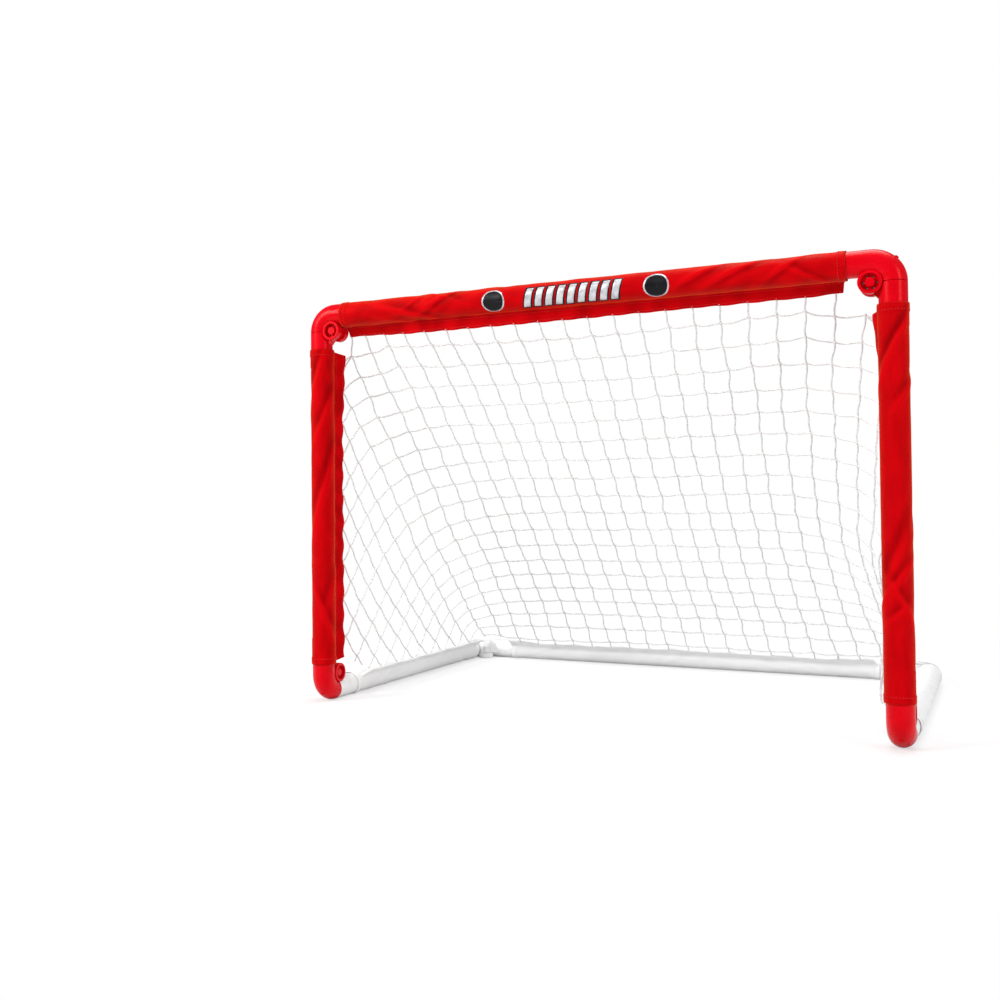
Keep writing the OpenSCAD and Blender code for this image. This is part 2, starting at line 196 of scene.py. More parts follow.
def mesh_object(
    name: str, points: np.ndarray, faces: Sequence[Sequence[int]], material: bpy.types.Material
) -> bpy.types.Object:
    """Makes a smooth-shaded mesh object at the origin.

    Args:
        name: Name of the piece.
        points: Its vertices, one row each.
        faces: Its faces as vertex indices.
        material: Its finish.

    Returns:
        The linked object.
    """
    mesh = bpy.data.meshes.new(name)
    mesh.from_pydata([tuple(p) for p in points], [], [tuple(f) for f in faces])
    mesh.materials.append(material)
    mesh.polygons.foreach_set("use_smooth", np.ones(len(mesh.polygons), bool))
    mesh.update()
    return linked_object(name, mesh)


def line_object(
    name: str, chains: Sequence[np.ndarray], closed: bool, flags: Sequence[np.ndarray] | None = None
) -> bpy.types.Object:
    """Makes an object of edge chains, which Geometry Nodes turn into curves.

    Args:
        name: Name of the object.
        chains: One array of points for each chain.
        closed: Whether each chain is a ring.
        flags: For each chain, which of its points carry a knot.

    Returns:
        The linked object.
    """
    points: list[tuple[float, ...]] = []
    edges: list[tuple[int, int]] = []
    for chain in chains:
        first = len(points)
        points += [tuple(p) for p in chain]
        edges += [(first + i, first + i + 1) for i in range(len(chain) - 1)]
        if closed:
            edges.append((len(points) - 1, first))
    mesh = bpy.data.meshes.new(name)
    mesh.from_pydata(points, edges, [])
    if flags is not None:
        knots = mesh.attributes.new("knot", "BOOLEAN", "POINT")
        knots.data.foreach_set("value", np.concatenate(flags).astype(bool))
    return linked_object(name, mesh)


def triangle_count(mesh: bpy.types.Mesh) -> int:
    """Counts the triangles that a mesh's faces come to.

    Args:
        mesh: The mesh.

    Returns:
        Their number.
    """
    return sum(len(p.vertices) - 2 for p in mesh.polygons)


class NodeCanvas:
    """Adds nodes to one tree and links them."""

    def __init__(self, tree: bpy.types.NodeTree) -> None:
        """Keeps the tree that the nodes go into."""
        self.tree = tree

    def add(self, kind: str, **values: object) -> bpy.types.Node:
        """Adds a node.

        Args:
            kind: Its type name.
            **values: Node properties by name.

        Returns:
            The new node.
        """
        node = self.tree.nodes.new(kind)
        for key, value in values.items():
            setattr(node, key, value)
        return node

    def link(self, source: bpy.types.NodeSocket, target: bpy.types.NodeSocket) -> None:
        """Links an output to an input.

        Args:
            source: The output.
            target: The input.
        """
        self.tree.links.new(source, target)

    def find(self, kind: str) -> bpy.types.Node:
        """Finds the tree's own node of one type.

        Args:
            kind: Its type, such as "BSDF_PRINCIPLED".

        Returns:
            The node.
        """
        return next(n for n in self.tree.nodes if n.type == kind)

    def calculate(
        self, operation: str, first: bpy.types.NodeSocket, second: bpy.types.NodeSocket
    ) -> bpy.types.NodeSocket:
        """Joins two values by arithmetic.

        Args:
            operation: Name of the operation, such as "ADD".
            first: The first value.
            second: The second value.

        Returns:
            The result.
        """
        node = self.add("ShaderNodeMath", operation=operation)
        self.link(first, node.inputs[0])
        self.link(second, node.inputs[1])
        return node.outputs["Value"]

    def mix_shaders(
        self,
        factor: bpy.types.NodeSocket,
        first: bpy.types.NodeSocket,
        second: bpy.types.NodeSocket,
    ) -> bpy.types.NodeSocket:
        """Mixes two shaders.

        Args:
            factor: Share of the second one.
            first: The shader at 0.
            second: The shader at 1.

        Returns:
            The mixed shader.
        """
        node = self.add("ShaderNodeMixShader")
        self.link(factor, node.inputs["Fac"])
        self.link(first, node.inputs[1])
        self.link(second, node.inputs[2])
        return node.outputs["Shader"]


# ---- Finishes --------------------------------------------------------------------------------

# The part of a noise texture's range that is in use.
NOISE_LOW, NOISE_HIGH = 0.3, 0.7

# Where the dark and the light colour stand on the ramp of a moulding, and on the cloth's ramp of
# painted shade.
PATCH_STOPS = (0.3, 0.62)
CLOTH_STOPS = (0.25, 0.95)

# How many grain depths the slow relief below the grain has.
SLOW_RELIEF = 6

# The small creases drawn in the cloth: their turn, their stretch along and across, their detail
# and how far they move the painted shade in the cloth's colour.
CREASE_TURN = math.radians(28)
CREASE_STRETCH = (0.035, 0.11, 1.0)
CREASE_DETAIL = 2.5
CREASE_PAINTED_SHADE = (-0.06, 0.1)

# How unevenly the threads lie.
THREAD_WOBBLE = 0.6


@dataclass(frozen=True)
class Finish:
    """A surface: its two colours, its gloss and the detail that breaks it up."""

    name: str
    light: Point
    dark: Point
    roughness: float
    rough_spread: float = 0.05
    coat: float = 0.0
    coat_roughness: float = 0.1
    sheen: float = 0.0
    sheen_roughness: float = 0.5
    sheen_tint: Point = (1.0, 1.0, 1.0)
    specular: float = 0.5
    gloss_tint: Point = (1.0, 1.0, 1.0)
    ior: float = 1.5
    metallic: float = 0.0
    patch_scale: float = 40.0
    grain_scale: float = 900.0
    grain_depth: float = 0.02 * MM

    def shader(self) -> tuple[bpy.types.Material, NodeCanvas, bpy.types.Node]:
        """Makes the material with its principled shader.

        Returns:
            The material, its canvas and the shader node.
        """
        material = bpy.data.materials.new(self.name)
        material.use_nodes = True
        canvas = NodeCanvas(material.node_tree)
        shader = canvas.find("BSDF_PRINCIPLED")
        constants = {
            "Coat Weight": self.coat,
            "Coat Roughness": self.coat_roughness,
            "Sheen Weight": self.sheen,
            "Sheen Roughness": self.sheen_roughness,
            "Specular IOR Level": self.specular,
            "IOR": self.ior,
            "Metallic": self.metallic,
        }
        for key, value in constants.items():
            shader.inputs[key].default_value = value
        shader.inputs["Specular Tint"].default_value = (*self.gloss_tint, 1.0)
        if self.sheen:
            shader.inputs["Sheen Tint"].default_value = (*self.sheen_tint, 1.0)
        return material, canvas, shader

    def noise(
        self, canvas: NodeCanvas, vector: bpy.types.NodeSocket, scale: float, detail: float = 3.0
    ) -> bpy.types.NodeSocket:
        """Adds a noise texture.

        Args:
            canvas: Where it goes.
            vector: The coordinates that it reads.
            scale: Its scale.
            detail: Its detail.

        Returns:
            Its factor output.
        """
        node = canvas.add("ShaderNodeTexNoise")
        node.inputs["Scale"].default_value = scale
        node.inputs["Detail"].default_value = detail
        canvas.link(vector, node.inputs["Vector"])
        return node.outputs["Fac"]

    def spread(
        self, canvas: NodeCanvas, factor: bpy.types.NodeSocket, low: float, high: float
    ) -> bpy.types.NodeSocket:
        """Maps a factor to a range.

        Args:
            canvas: Where the node goes.
            factor: The noise that is mapped.
            low: Result at the low end.
            high: Result at the high end.

        Returns:
            The mapped value.
        """
        node = canvas.add("ShaderNodeMapRange")
        node.inputs["From Min"].default_value = NOISE_LOW
        node.inputs["From Max"].default_value = NOISE_HIGH
        node.inputs["To Min"].default_value = low
        node.inputs["To Max"].default_value = high
        canvas.link(factor, node.inputs["Value"])
        return node.outputs["Result"]

    def roughen(
        self, canvas: NodeCanvas, factor: bpy.types.NodeSocket, shader: bpy.types.Node
    ) -> None:
        """Lets a noise vary the shader's roughness about the finish's own.

        Args:
            canvas: Where the node goes.
            factor: The noise.
            shader: The principled shader.
        """
        low, high = self.roughness - self.rough_spread, self.roughness + self.rough_spread
        canvas.link(self.spread(canvas, factor, low, high), shader.inputs["Roughness"])

    def tint(
        self, canvas: NodeCanvas, factor: bpy.types.NodeSocket, stops: tuple[float, float]
    ) -> bpy.types.NodeSocket:
        """Mixes the dark and the light colour.

        Args:
            canvas: Where the node goes.
            factor: Dark at the first stop, light at the second.
            stops: Where the two colours stand on the ramp.

        Returns:
            The colour.
        """
        ramp = canvas.add("ShaderNodeValToRGB")
        for element, stop, colour in zip(ramp.color_ramp.elements, stops, (self.dark, self.light)):
            element.position = stop
            element.color = (*colour, 1.0)
        canvas.link(factor, ramp.inputs["Fac"])
        return ramp.outputs["Color"]

    def bump(
        self,
        canvas: NodeCanvas,
        height: bpy.types.NodeSocket,
        depth: float,
        below: bpy.types.NodeSocket | None = None,
    ) -> bpy.types.NodeSocket:
        """Adds a bump node.

        Args:
            canvas: Where it goes.
            height: The height that it reads.
            depth: How far the relief reaches, in metres.
            below: The normal that it starts from.

        Returns:
            The bumped normal.
        """
        node = canvas.add("ShaderNodeBump")
        node.inputs["Strength"].default_value = 1.0
        node.inputs["Distance"].default_value = depth
        canvas.link(height, node.inputs["Height"])
        if below is not None:
            canvas.link(below, node.inputs["Normal"])
        return node.outputs["Normal"]

    def build(self) -> bpy.types.Material:
        """Makes a moulded or painted surface: soft patches and fine grain.

        Returns:
            The material.
        """
        material, canvas, shader = self.shader()
        place = canvas.add("ShaderNodeTexCoord").outputs["Object"]
        patches = self.noise(canvas, place, self.patch_scale)
        grain = self.noise(canvas, place, self.grain_scale, 2.0)
        canvas.link(self.tint(canvas, patches, PATCH_STOPS), shader.inputs["Base Color"])
        self.roughen(canvas, patches, shader)
        slow = self.bump(canvas, patches, SLOW_RELIEF * self.grain_depth)
        canvas.link(self.bump(canvas, grain, self.grain_depth, slow), shader.inputs["Normal"])
        return material


@dataclass(frozen=True)
class ClothFinish(Finish):
    """Woven cloth that follows the piece's own map: threads, small creases, painted shade and
    painted light.
    """

    thread_pitch: float = 0.55
    crease_depth: float = 0.35 * MM
    weave_depth: float = 0.03 * MM

    def threads(
        self, canvas: NodeCanvas, vector: bpy.types.NodeSocket, direction: str
    ) -> bpy.types.NodeSocket:
        """Adds one set of threads.

        Args:
            canvas: Where it goes.
            vector: Coordinates in millimetres.
            direction: "X" or "Y".

        Returns:
            The height over the threads.
        """
        node = canvas.add("ShaderNodeTexWave", bands_direction=direction)
        node.inputs["Scale"].default_value = math.pi / 10 / self.thread_pitch
        node.inputs["Distortion"].default_value = THREAD_WOBBLE
        canvas.link(vector, node.inputs["Vector"])
        return node.outputs["Fac"]

    def build(self) -> bpy.types.Material:
        """Makes the cloth.

        Returns:
            The material.
        """
        material, canvas, shader = self.shader()
        flat = canvas.add("ShaderNodeUVMap", uv_map="cloth").outputs["UV"]
        scaled = canvas.add("ShaderNodeVectorMath", operation="SCALE")
        scaled.inputs["Scale"].default_value = 1000.0  # metres to millimetres
        canvas.link(flat, scaled.inputs[0])
        millimetres = scaled.outputs["Vector"]
        drawn = canvas.add("ShaderNodeMapping")
        drawn.inputs["Rotation"].default_value = (0.0, 0.0, CREASE_TURN)
        drawn.inputs["Scale"].default_value = CREASE_STRETCH
        canvas.link(millimetres, drawn.inputs["Vector"])
        creases = self.noise(canvas, drawn.outputs["Vector"], 1.0, CREASE_DETAIL)
        # Painted shade: the colour darkens in the crease valleys and on the inner face, and
        # lightens on the crests.
        painted_crease_shade = canvas.add("ShaderNodeAttribute", attribute_name="painted_crease_shade").outputs["Fac"]
        shade = canvas.calculate("ADD", self.spread(canvas, creases, *CREASE_PAINTED_SHADE), painted_crease_shade)
        canvas.link(self.tint(canvas, shade, CLOTH_STOPS), shader.inputs["Base Color"])
        across = self.threads(canvas, millimetres, "X")
        along = self.threads(canvas, millimetres, "Y")
        weave = canvas.calculate("MULTIPLY", across, along)
        folded = self.bump(canvas, creases, self.crease_depth)
        canvas.link(self.bump(canvas, weave, self.weave_depth, folded), shader.inputs["Normal"])
        self.roughen(canvas, creases, shader)
        return material


# On the cloths the dark colour is painted shade for crease valleys and inner faces, and the light
# colour is painted light on crests.
RED_CLOTH = ClothFinish(
    "satin_red_cloth", (0.59, 0.0012, 0.004), (0.18, 0.0, 0.0015), 0.44, 0.06,
    sheen=1.0, sheen_roughness=0.35, sheen_tint=(1.0, 0.18, 0.04), specular=0.06,
    gloss_tint=(1.0, 0.13, 0.04), ior=1.3, crease_depth=0.45 * MM,
)
WHITE_CLOTH = ClothFinish(
    "white_cloth", (0.91, 0.91, 0.91), (0.84, 0.84, 0.85), 0.55, 0.05,
    sheen=0.1, sheen_roughness=0.5, crease_depth=0.2 * MM,
)
RED_MOULDED = Finish(
    "red_moulded_plastic", (0.70, 0.0012, 0.009), (0.60, 0.0008, 0.006), 0.29, 0.05,
    coat=0.03, coat_roughness=0.12, specular=0.38, gloss_tint=(1.0, 0.08, 0.06),
)
WHITE_MOULDED = Finish(
    "white_moulded_plastic", (0.90, 0.90, 0.90), (0.86, 0.86, 0.87), 0.26, 0.05,
    coat=0.2, coat_roughness=0.12,
)
RED_PAINTED = Finish(
    "red_painted_steel", (0.70, 0.002, 0.008), (0.58, 0.001, 0.005), 0.30, coat=0.15,
    gloss_tint=(1.0, 0.12, 0.10), grain_scale=500.0,
)
WHITE_PAINTED = Finish(
    "white_painted_steel", (0.86, 0.86, 0.86), (0.80, 0.80, 0.81), 0.30, coat=0.4,
    grain_scale=500.0,
)
TWINE = Finish(
    "white_net_twine", (0.80, 0.80, 0.79), (0.63, 0.63, 0.63), 0.6, sheen=0.1,
    patch_scale=220.0, grain_scale=1400.0, grain_depth=0.08 * MM,
)
RED_THREAD = Finish("red_thread", (0.72, 0.02, 0.02), (0.46, 0.004, 0.008), 0.5, specular=0.3)
WHITE_THREAD = Finish("white_thread", (0.84, 0.84, 0.84), (0.66, 0.66, 0.68), 0.5)
SILVER_INK = Finish(
    "silver_ink", (0.66, 0.67, 0.69), (0.42, 0.43, 0.46), 0.34, metallic=0.3, patch_scale=120.0,
)
BLACK_INK = Finish(
    "black_ink", (0.008, 0.008, 0.010), (0.004, 0.004, 0.006), 0.4, specular=0.15,
)


class Wardrobe:
    """Builds each finish once."""

    def __init__(self) -> None:
        """Starts empty."""
        self.made: dict[str, bpy.types.Material] = {}

    def get(self, finish: Finish) -> bpy.types.Material:
        """Gives the material of a finish, built when it is first asked for.

        Args:
            finish: The finish.

        Returns:
            Its material.
        """
        if finish.name not in self.made:
            self.made[finish.name] = finish.build()
        return self.made[finish.name]


# ---- Geometry Nodes --------------------------------------------------------------------------


class Tree:
    """A Geometry Nodes tree with named inputs, and its use on an object."""

    def __init__(self, name: str, inputs: dict[str, str]) -> None:
        """Makes the tree with its geometry sockets and its named inputs.

        Args:
            name: Its name.
            inputs: For each input, the end of its socket type, such as "Float".
        """
        self.tree = bpy.data.node_groups.new(name, "GeometryNodeTree")
        self.canvas = NodeCanvas(self.tree)
        face = self.tree.interface
        face.new_socket(name="Geometry", in_out="INPUT", socket_type="NodeSocketGeometry")
        face.new_socket(name="Geometry", in_out="OUTPUT", socket_type="NodeSocketGeometry")
        self.ids: dict[str, str] = {}
        for key, kind in inputs.items():
            socket = face.new_socket(name=key, in_out="INPUT", socket_type=f"NodeSocket{kind}")
            self.ids[key] = socket.identifier
        self.start = self.canvas.add("NodeGroupInput")
        self.end = self.canvas.add("NodeGroupOutput")

    def sphere(self, segments: int, rings: int) -> bpy.types.NodeSocket:
        """Adds a sphere of radius 1.

        Args:
            segments: Its faces round the axis.
            rings: Its faces from pole to pole.

        Returns:
            Its mesh.
        """
        node = self.canvas.add("GeometryNodeMeshUVSphere")
        node.inputs["Segments"].default_value = segments
        node.inputs["Rings"].default_value = rings
        node.inputs["Radius"].default_value = 1.0
        return node.outputs["Mesh"]

    def finish(self, geometry: bpy.types.NodeSocket) -> None:
        """Ends the tree in realised instances, smooth shading and the material.

        Args:
            geometry: The last geometry.
        """
        real = self.canvas.add("GeometryNodeRealizeInstances")
        smooth = self.canvas.add("GeometryNodeSetShadeSmooth")
        paint = self.canvas.add("GeometryNodeSetMaterial")
        self.canvas.link(geometry, real.inputs["Geometry"])
        self.canvas.link(real.outputs["Geometry"], smooth.inputs["Geometry"])
        self.canvas.link(smooth.outputs["Geometry"], paint.inputs["Geometry"])
        self.canvas.link(self.start.outputs["Material"], paint.inputs["Material"])
        self.canvas.link(paint.outputs["Geometry"], self.end.inputs["Geometry"])

    def bake(self, obj: bpy.types.Object, **values: object) -> bpy.types.Object:
        """Runs the tree on an object and keeps the plain mesh.

        Args:
            obj: The object that the tree starts from.
            **values: Its inputs, with _ for a space in a name.

        Returns:
            The same object with its new mesh and no modifier.
        """
        modifier = obj.modifiers.new("build", "NODES")
        modifier.node_group = self.tree
        for key, value in values.items():
            modifier[self.ids[key.replace("_", " ")]] = value
        bpy.context.view_layer.update()
        graph = bpy.context.evaluated_depsgraph_get()
        mesh = bpy.data.meshes.new_from_object(obj.evaluated_get(graph), depsgraph=graph)
        obj.modifiers.clear()
        obj.data = mesh
        return obj


class TwineTree(Tree):
    """Turns edge chains into round twine, with a knot at each flagged point."""

    knot_shape: Point = (1.15, 0.9, 0.8)

    def __init__(self) -> None:
        """Builds the tree."""
        inputs = {
            "Radius": "Float",
            "Sides": "Int",
            "Knot Size": "Float",
            "Seed": "Int",
            "Material": "Material",
        }
        super().__init__("knotted_twine", inputs)
        add, link, given = self.canvas.add, self.canvas.link, self.start.outputs
        curve = add("GeometryNodeMeshToCurve")
        profile = add("GeometryNodeCurvePrimitiveCircle")
        tube = add("GeometryNodeCurveToMesh")
        tube.inputs["Fill Caps"].default_value = True
        link(given["Geometry"], curve.inputs["Mesh"])
        link(given["Sides"], profile.inputs["Resolution"])
        link(given["Radius"], profile.inputs["Radius"])
        link(curve.outputs["Curve"], tube.inputs["Curve"])
        link(profile.outputs["Curve"], tube.inputs["Profile Curve"])
        squat = add("GeometryNodeTransform")
        squat.inputs["Scale"].default_value = self.knot_shape
        link(self.sphere(8, 5), squat.inputs["Geometry"])
        turn = add("FunctionNodeRandomValue", data_type="FLOAT_VECTOR")
        turn.inputs["Min"].default_value = (0.0, 0.0, 0.0)
        turn.inputs["Max"].default_value = (math.tau, math.tau, math.tau)
        link(given["Seed"], turn.inputs["Seed"])
        flag = add("GeometryNodeInputNamedAttribute", data_type="BOOLEAN")
        flag.inputs["Name"].default_value = "knot"
        place = add("GeometryNodeInstanceOnPoints")
        link(given["Geometry"], place.inputs["Points"])
        link(flag.outputs["Attribute"], place.inputs["Selection"])
        link(squat.outputs["Geometry"], place.inputs["Instance"])
        link(turn.outputs["Value"], place.inputs["Rotation"])
        link(given["Knot Size"], place.inputs["Scale"])
        both = add("GeometryNodeJoinGeometry")
        link(tube.outputs["Mesh"], both.inputs["Geometry"])
        link(place.outputs["Instances"], both.inputs["Geometry"])
        self.finish(both.outputs["Geometry"])


class StitchTree(Tree):
    """Lays stitches end to end along edge chains."""

    def __init__(self) -> None:
        """Builds the tree."""
        inputs = {
            "Spacing": "Float",
            "Stitch Length": "Float",
            "Thread Radius": "Float",
            "Material": "Material",
        }
        super().__init__("stitches", inputs)
        add, link, given = self.canvas.add, self.canvas.link, self.start.outputs
        curve = add("GeometryNodeMeshToCurve")
        even = add("GeometryNodeResampleCurve", mode="LENGTH")
        link(given["Geometry"], curve.inputs["Mesh"])
        link(curve.outputs["Curve"], even.inputs["Curve"])
        link(given["Spacing"], even.inputs["Length"])
        size = add("ShaderNodeCombineXYZ")
        half = add("ShaderNodeMath", operation="MULTIPLY")
        half.inputs[1].default_value = 0.5
        link(given["Stitch Length"], half.inputs[0])
        link(half.outputs["Value"], size.inputs["X"])
        link(given["Thread Radius"], size.inputs["Y"])
        link(given["Thread Radius"], size.inputs["Z"])
        stretched = add("GeometryNodeTransform")
        link(self.sphere(6, 4), stretched.inputs["Geometry"])
        link(size.outputs["Vector"], stretched.inputs["Scale"])
        aim = add("FunctionNodeAlignRotationToVector", axis="X")
        link(add("GeometryNodeInputTangent").outputs["Tangent"], aim.inputs["Vector"])
        place = add("GeometryNodeInstanceOnPoints")
        link(even.outputs["Curve"], place.inputs["Points"])
        link(stretched.outputs["Geometry"], place.inputs["Instance"])
        link(aim.outputs["Rotation"], place.inputs["Rotation"])
        self.finish(place.outputs["Instances"])


# ---- Fabric sleeves --------------------------------------------------------------------------


@dataclass(frozen=True)
class Wave:
    """One set of creases that runs round a sleeve at a slant."""

    depth: float
    along: float
    turns: int
    phase: float
    drift: float
    fade: float
    wander: float = 0.9
    wander_pace: float = 5
    ridge_mean: float = 0.64
    ridge_round: float = 0.012

    def rise(self, s: np.ndarray, theta: np.ndarray) -> np.ndarray:
        """Height of the creases.

        Args:
            s: Distance along the sleeve.
            theta: Angle from the flap.

        Returns:
            Height in metres.
        """
        wander = self.wander * np.sin(s / self.fade * self.wander_pace + self.drift)
        angle = self.along * s + self.turns * theta + self.phase + wander
        ridge = self.ridge_mean - np.sqrt(np.sin(angle / 2) ** 2 + self.ridge_round)
        return self.depth * ridge * (0.5 + 0.5 * np.sin(math.tau * s / self.fade + self.drift))


@dataclass(frozen=True)
class Fold:
    """One sharp fold that crosses a sleeve at a slant: a crest with a valley beside it."""

    at: float
    angle: float
    slope: float
    reach: float
    width: float
    height: float
    valley_depth: float = 0.75
    valley_off: float = 1.6
    valley_width: float = 1.2

    def rise(self, s: np.ndarray, theta: np.ndarray, radius: float) -> np.ndarray:
        """Height of the fold.

        Args:
            s: Distance along the sleeve.
            theta: Angle from the flap.
            radius: Radius of the sleeve.

        Returns:
            Height in metres.
        """
        arc = radius * np.angle(np.exp(1j * (theta - self.angle)))
        off = (s - self.at - self.slope * arc) / math.hypot(1, self.slope) / self.width
        beside = (off - self.valley_off) / self.valley_width
        crest = np.exp(-(off**2)) - self.valley_depth * np.exp(-(beside**2))
        return self.height * np.exp(-((arc / self.reach) ** 2)) * crest


# Samples of a flap's turn along its sleeve, and how many of them on each side soften each one.
TURN_SAMPLES = 81
TURN_BLUR = 6

# Stitches of the seams: distance between them, their length and the thread's radius.
STITCH_SIZES = {"Spacing": 3.2 * MM, "Stitch_Length": 2.4 * MM, "Thread_Radius": 0.28 * MM}


@dataclass
class FabricSleeve:
    """A fabric tube round a pipe, hemmed at its ends, with a sewn flap for the net's edge.

    Its own frame is given by `start`, where it begins, `axis`, which way it runs, and `flap`,
    which way its flap stands. `shift` is how far its middle lies off the pipe's.
    """

    name: str
    node: str
    body: Body
    rests_on: tuple[str, ...]
    start: Point
    axis: Point
    flap: Point
    shift: Point
    length: float
    flap_insets: tuple[float, float]
    cloth: ClothFinish
    thread: Finish
    slot: Slot
    seed: int

    # The tube: its radius over the cloth, its wall, and the points along and round it.
    radius: float = 15.2 * MM
    wall: float = 0.7 * MM
    station: float = 2.0 * MM
    tube_points: int = 54
    inner_rise: float = 0.4 * MM
    inner_slack: float = 0.05 * MM

    # What it covers: the length over a moulding at each end, and the gaps to what lies inside.
    moulded_start: float = 0.0
    moulded_end: float = 0.0
    moulding_edge: float = 3 * MM
    pipe_gap: float = 0.1 * MM
    tight_gap: float = 0.2 * MM

    # On the floor it stays above it, and its ends hug what they cover.
    on_floor: bool = False
    floor_gap: float = 0.3 * MM
    snug: float = 18.0 * MM
    least_loose: float = 0.1

    # The hems and the cut rims of the cloth.
    hem_width: float = 9.0 * MM
    hem_rise: float = 0.55 * MM
    hem_edge: float = 1.0 * MM
    rim_drop: float = 0.25 * MM
    rim_width: float = 0.8 * MM

    # The flap: its section, its pulls at the net's ties, its waves and its turn along the sleeve.
    flap_thick: float = 2.2 * MM
    flap_start: float = 1.2 * MM
    flap_steps: int = 8
    foot_start: float = 0.1 * MM
    foot_share: float = 1.45
    flap_root: float = 0.2
    flap_edge_width: float = 2.5 * MM
    flap_wave: float = 0.45 * MM
    pull_pitch: float = 30.1 * MM
    pull: float = 0.35 * MM
    turns: tuple[tuple[float, float], ...] = ((0.0, 0.0), (1.0, 0.0))
    turn_sign: int = 1

    # The creases: how deep and how many they are, and how they fade.
    crease: float = 0.85 * MM
    fold_count: int = 12
    fold_size: float = 1.0
    wave_count: int = 6
    wave_share: float = 1.0
    pull_fade: float = 0.75
    pull_lean: float = 2.2
    pull_share: float = 0.25
    crease_ease: float = 22 * MM
    least_crease: float = 0.35

    # The painted shade that the finish reads: on the outer face from the creases, and on the inner
    # face.
    painted_shade_mean: float = 0.78
    painted_shade_range: float = 3.2
    painted_inner_shade: float = 0.35

    # The seams: two lines on each face of the flap, and a ring round each hem.
    stitch_lift: float = 0.12 * MM
    seam_inset: float = 3 * MM
    seam_step: float = 1.5 * MM
    root_seam: float = 2.2 * MM
    tip_seam: float = 2.0 * MM
    hem_seam: float = 1.6 * MM
    ring_gap: float = 0.26
    ring_points: int = 70

    folds: list[Fold] = field(default_factory=list)
    waves: list[Wave] = field(default_factory=list)

    def __post_init__(self) -> None:
        """Works out the frame of the sleeve and draws its creases from the fixed seed."""
        self.a = np.array(self.axis, float)
        self.f = np.array(self.flap, float)
        self.b = np.cross(self.a, self.f)
        source = np.random.default_rng(self.seed)
        for _ in range(self.fold_count):
            self.folds.append(
                Fold(
                    at=source.uniform(0.03, 0.97) * self.length,
                    angle=source.uniform(0, math.tau),
                    slope=source.uniform(1.1, 3.2) * (1 if source.random() < 0.65 else -1),
                    reach=self.fold_size * source.uniform(9, 17) * MM,
                    width=self.fold_size * source.uniform(2.4, 4.6) * MM,
                    height=self.crease * source.uniform(0.6, 1.2),
                )
            )
        for _ in range(self.wave_count):
            length = source.uniform(26, 95) * MM
            self.waves.append(
                Wave(
                    depth=self.wave_share * self.crease * source.uniform(0.2, 0.42),
                    along=math.tau / length * (1 if source.random() < 0.7 else -1),
                    turns=int(source.integers(1, 4)),
                    phase=source.uniform(0, math.tau),
                    drift=source.uniform(0, math.tau),
                    fade=source.uniform(90, 260) * MM,
                )
            )

    def creases(self, s: np.ndarray, theta: np.ndarray) -> np.ndarray:
        """Height of the creases.

        Args:
            s: Distance along the sleeve.
            theta: Angle from the flap.

        Returns:
            Height in metres, about its mean.
        """
        total = np.zeros(np.broadcast(s, theta).shape)
        for wave in self.waves:
            total += wave.rise(s, theta)
        for fold in self.folds:
            total += fold.rise(s, theta, self.radius)
        near_flap = np.exp(-np.abs(np.angle(np.exp(1j * theta))) / self.pull_fade)
        pulled = np.cos(math.tau * s / self.pull_pitch + self.pull_lean * np.sin(theta))
        total += self.pull_share * self.crease * near_flap * pulled
        ends = smoothstep(np.minimum(s, self.length - s) / self.crease_ease)
        return total * (self.least_crease + (1 - self.least_crease) * ends)

    def turn(self, s: np.ndarray) -> np.ndarray:
        """Turn of the flap about the sleeve, which differs along its length.

        Args:
            s: Distance along the sleeve.

        Returns:
            The turn in radians.
        """
        shares, degrees = zip(*self.turns)
        fine = np.linspace(0, 1, TURN_SAMPLES)
        rough = np.pad(np.interp(fine, shares, degrees), TURN_BLUR, mode="edge")
        window = np.hanning(2 * TURN_BLUR + 3)[1:-1] / (TURN_BLUR + 1)
        soft = np.convolve(rough, window, mode="valid")
        return self.turn_sign * np.radians(np.interp(s / self.length, fine, soft))

    def loose(self, s: np.ndarray) -> np.ndarray:
        """Share of the sleeve's shift off its pipe: on the floor, its ends hug what they cover.

        Args:
            s: Distance along the sleeve.

        Returns:
            The share, 1 where the sleeve has its whole shift.
        """
        if not self.on_floor:
            return np.ones_like(s, float)
        ends = smoothstep(np.minimum(s, self.length - s) / self.snug)
        return self.least_loose + (1 - self.least_loose) * ends

    def clear(self, s: np.ndarray, theta: np.ndarray) -> np.ndarray:
        """Least radius that keeps the cloth off what it covers.

        Args:
            s: Distance along the sleeve.
            theta: Angle from the flap.

        Returns:
            Radius from the middle of the sleeve.
        """
        edge = self.moulding_edge
        over_moulding = np.maximum(
            smoothstep((self.moulded_start - s) / edge + 1),
            smoothstep((s - self.length + self.moulded_end) / edge + 1),
        )
        inside = LAYOUT.pipe_r + (LAYOUT.corner_r - LAYOUT.pipe_r) * over_moulding
        pipe = -np.array(self.shift, float)
        real = theta + self.turn(s)
        loose = self.loose(s)
        toward = loose * (pipe @ self.f * np.cos(real) + pipe @ self.b * np.sin(real))
        reach = np.sqrt(inside**2 - loose**2 * (pipe @ pipe) + toward**2)
        return toward + reach + self.wall + self.pipe_gap

    def tube_radius(self, s: np.ndarray, theta: np.ndarray) -> np.ndarray:
        """Outer radius of the tube, with creases and hems.

        Args:
            s: Distance along the sleeve.
            theta: Angle from the flap.

        Returns:
            Radius from the middle of the sleeve.
        """
        rim = np.minimum(s, self.length - s)
        hem = smoothstep((self.hem_width - rim) / self.hem_edge + 0.5)
        tight = LAYOUT.corner_r + self.wall + self.tight_gap
        free = tight + (self.radius - tight) * self.loose(s)
        r = np.maximum(free + self.creases(s, theta), self.clear(s, theta))
        return r + self.hem_rise * hem - self.rim_drop * smoothstep(1 - rim / self.rim_width)

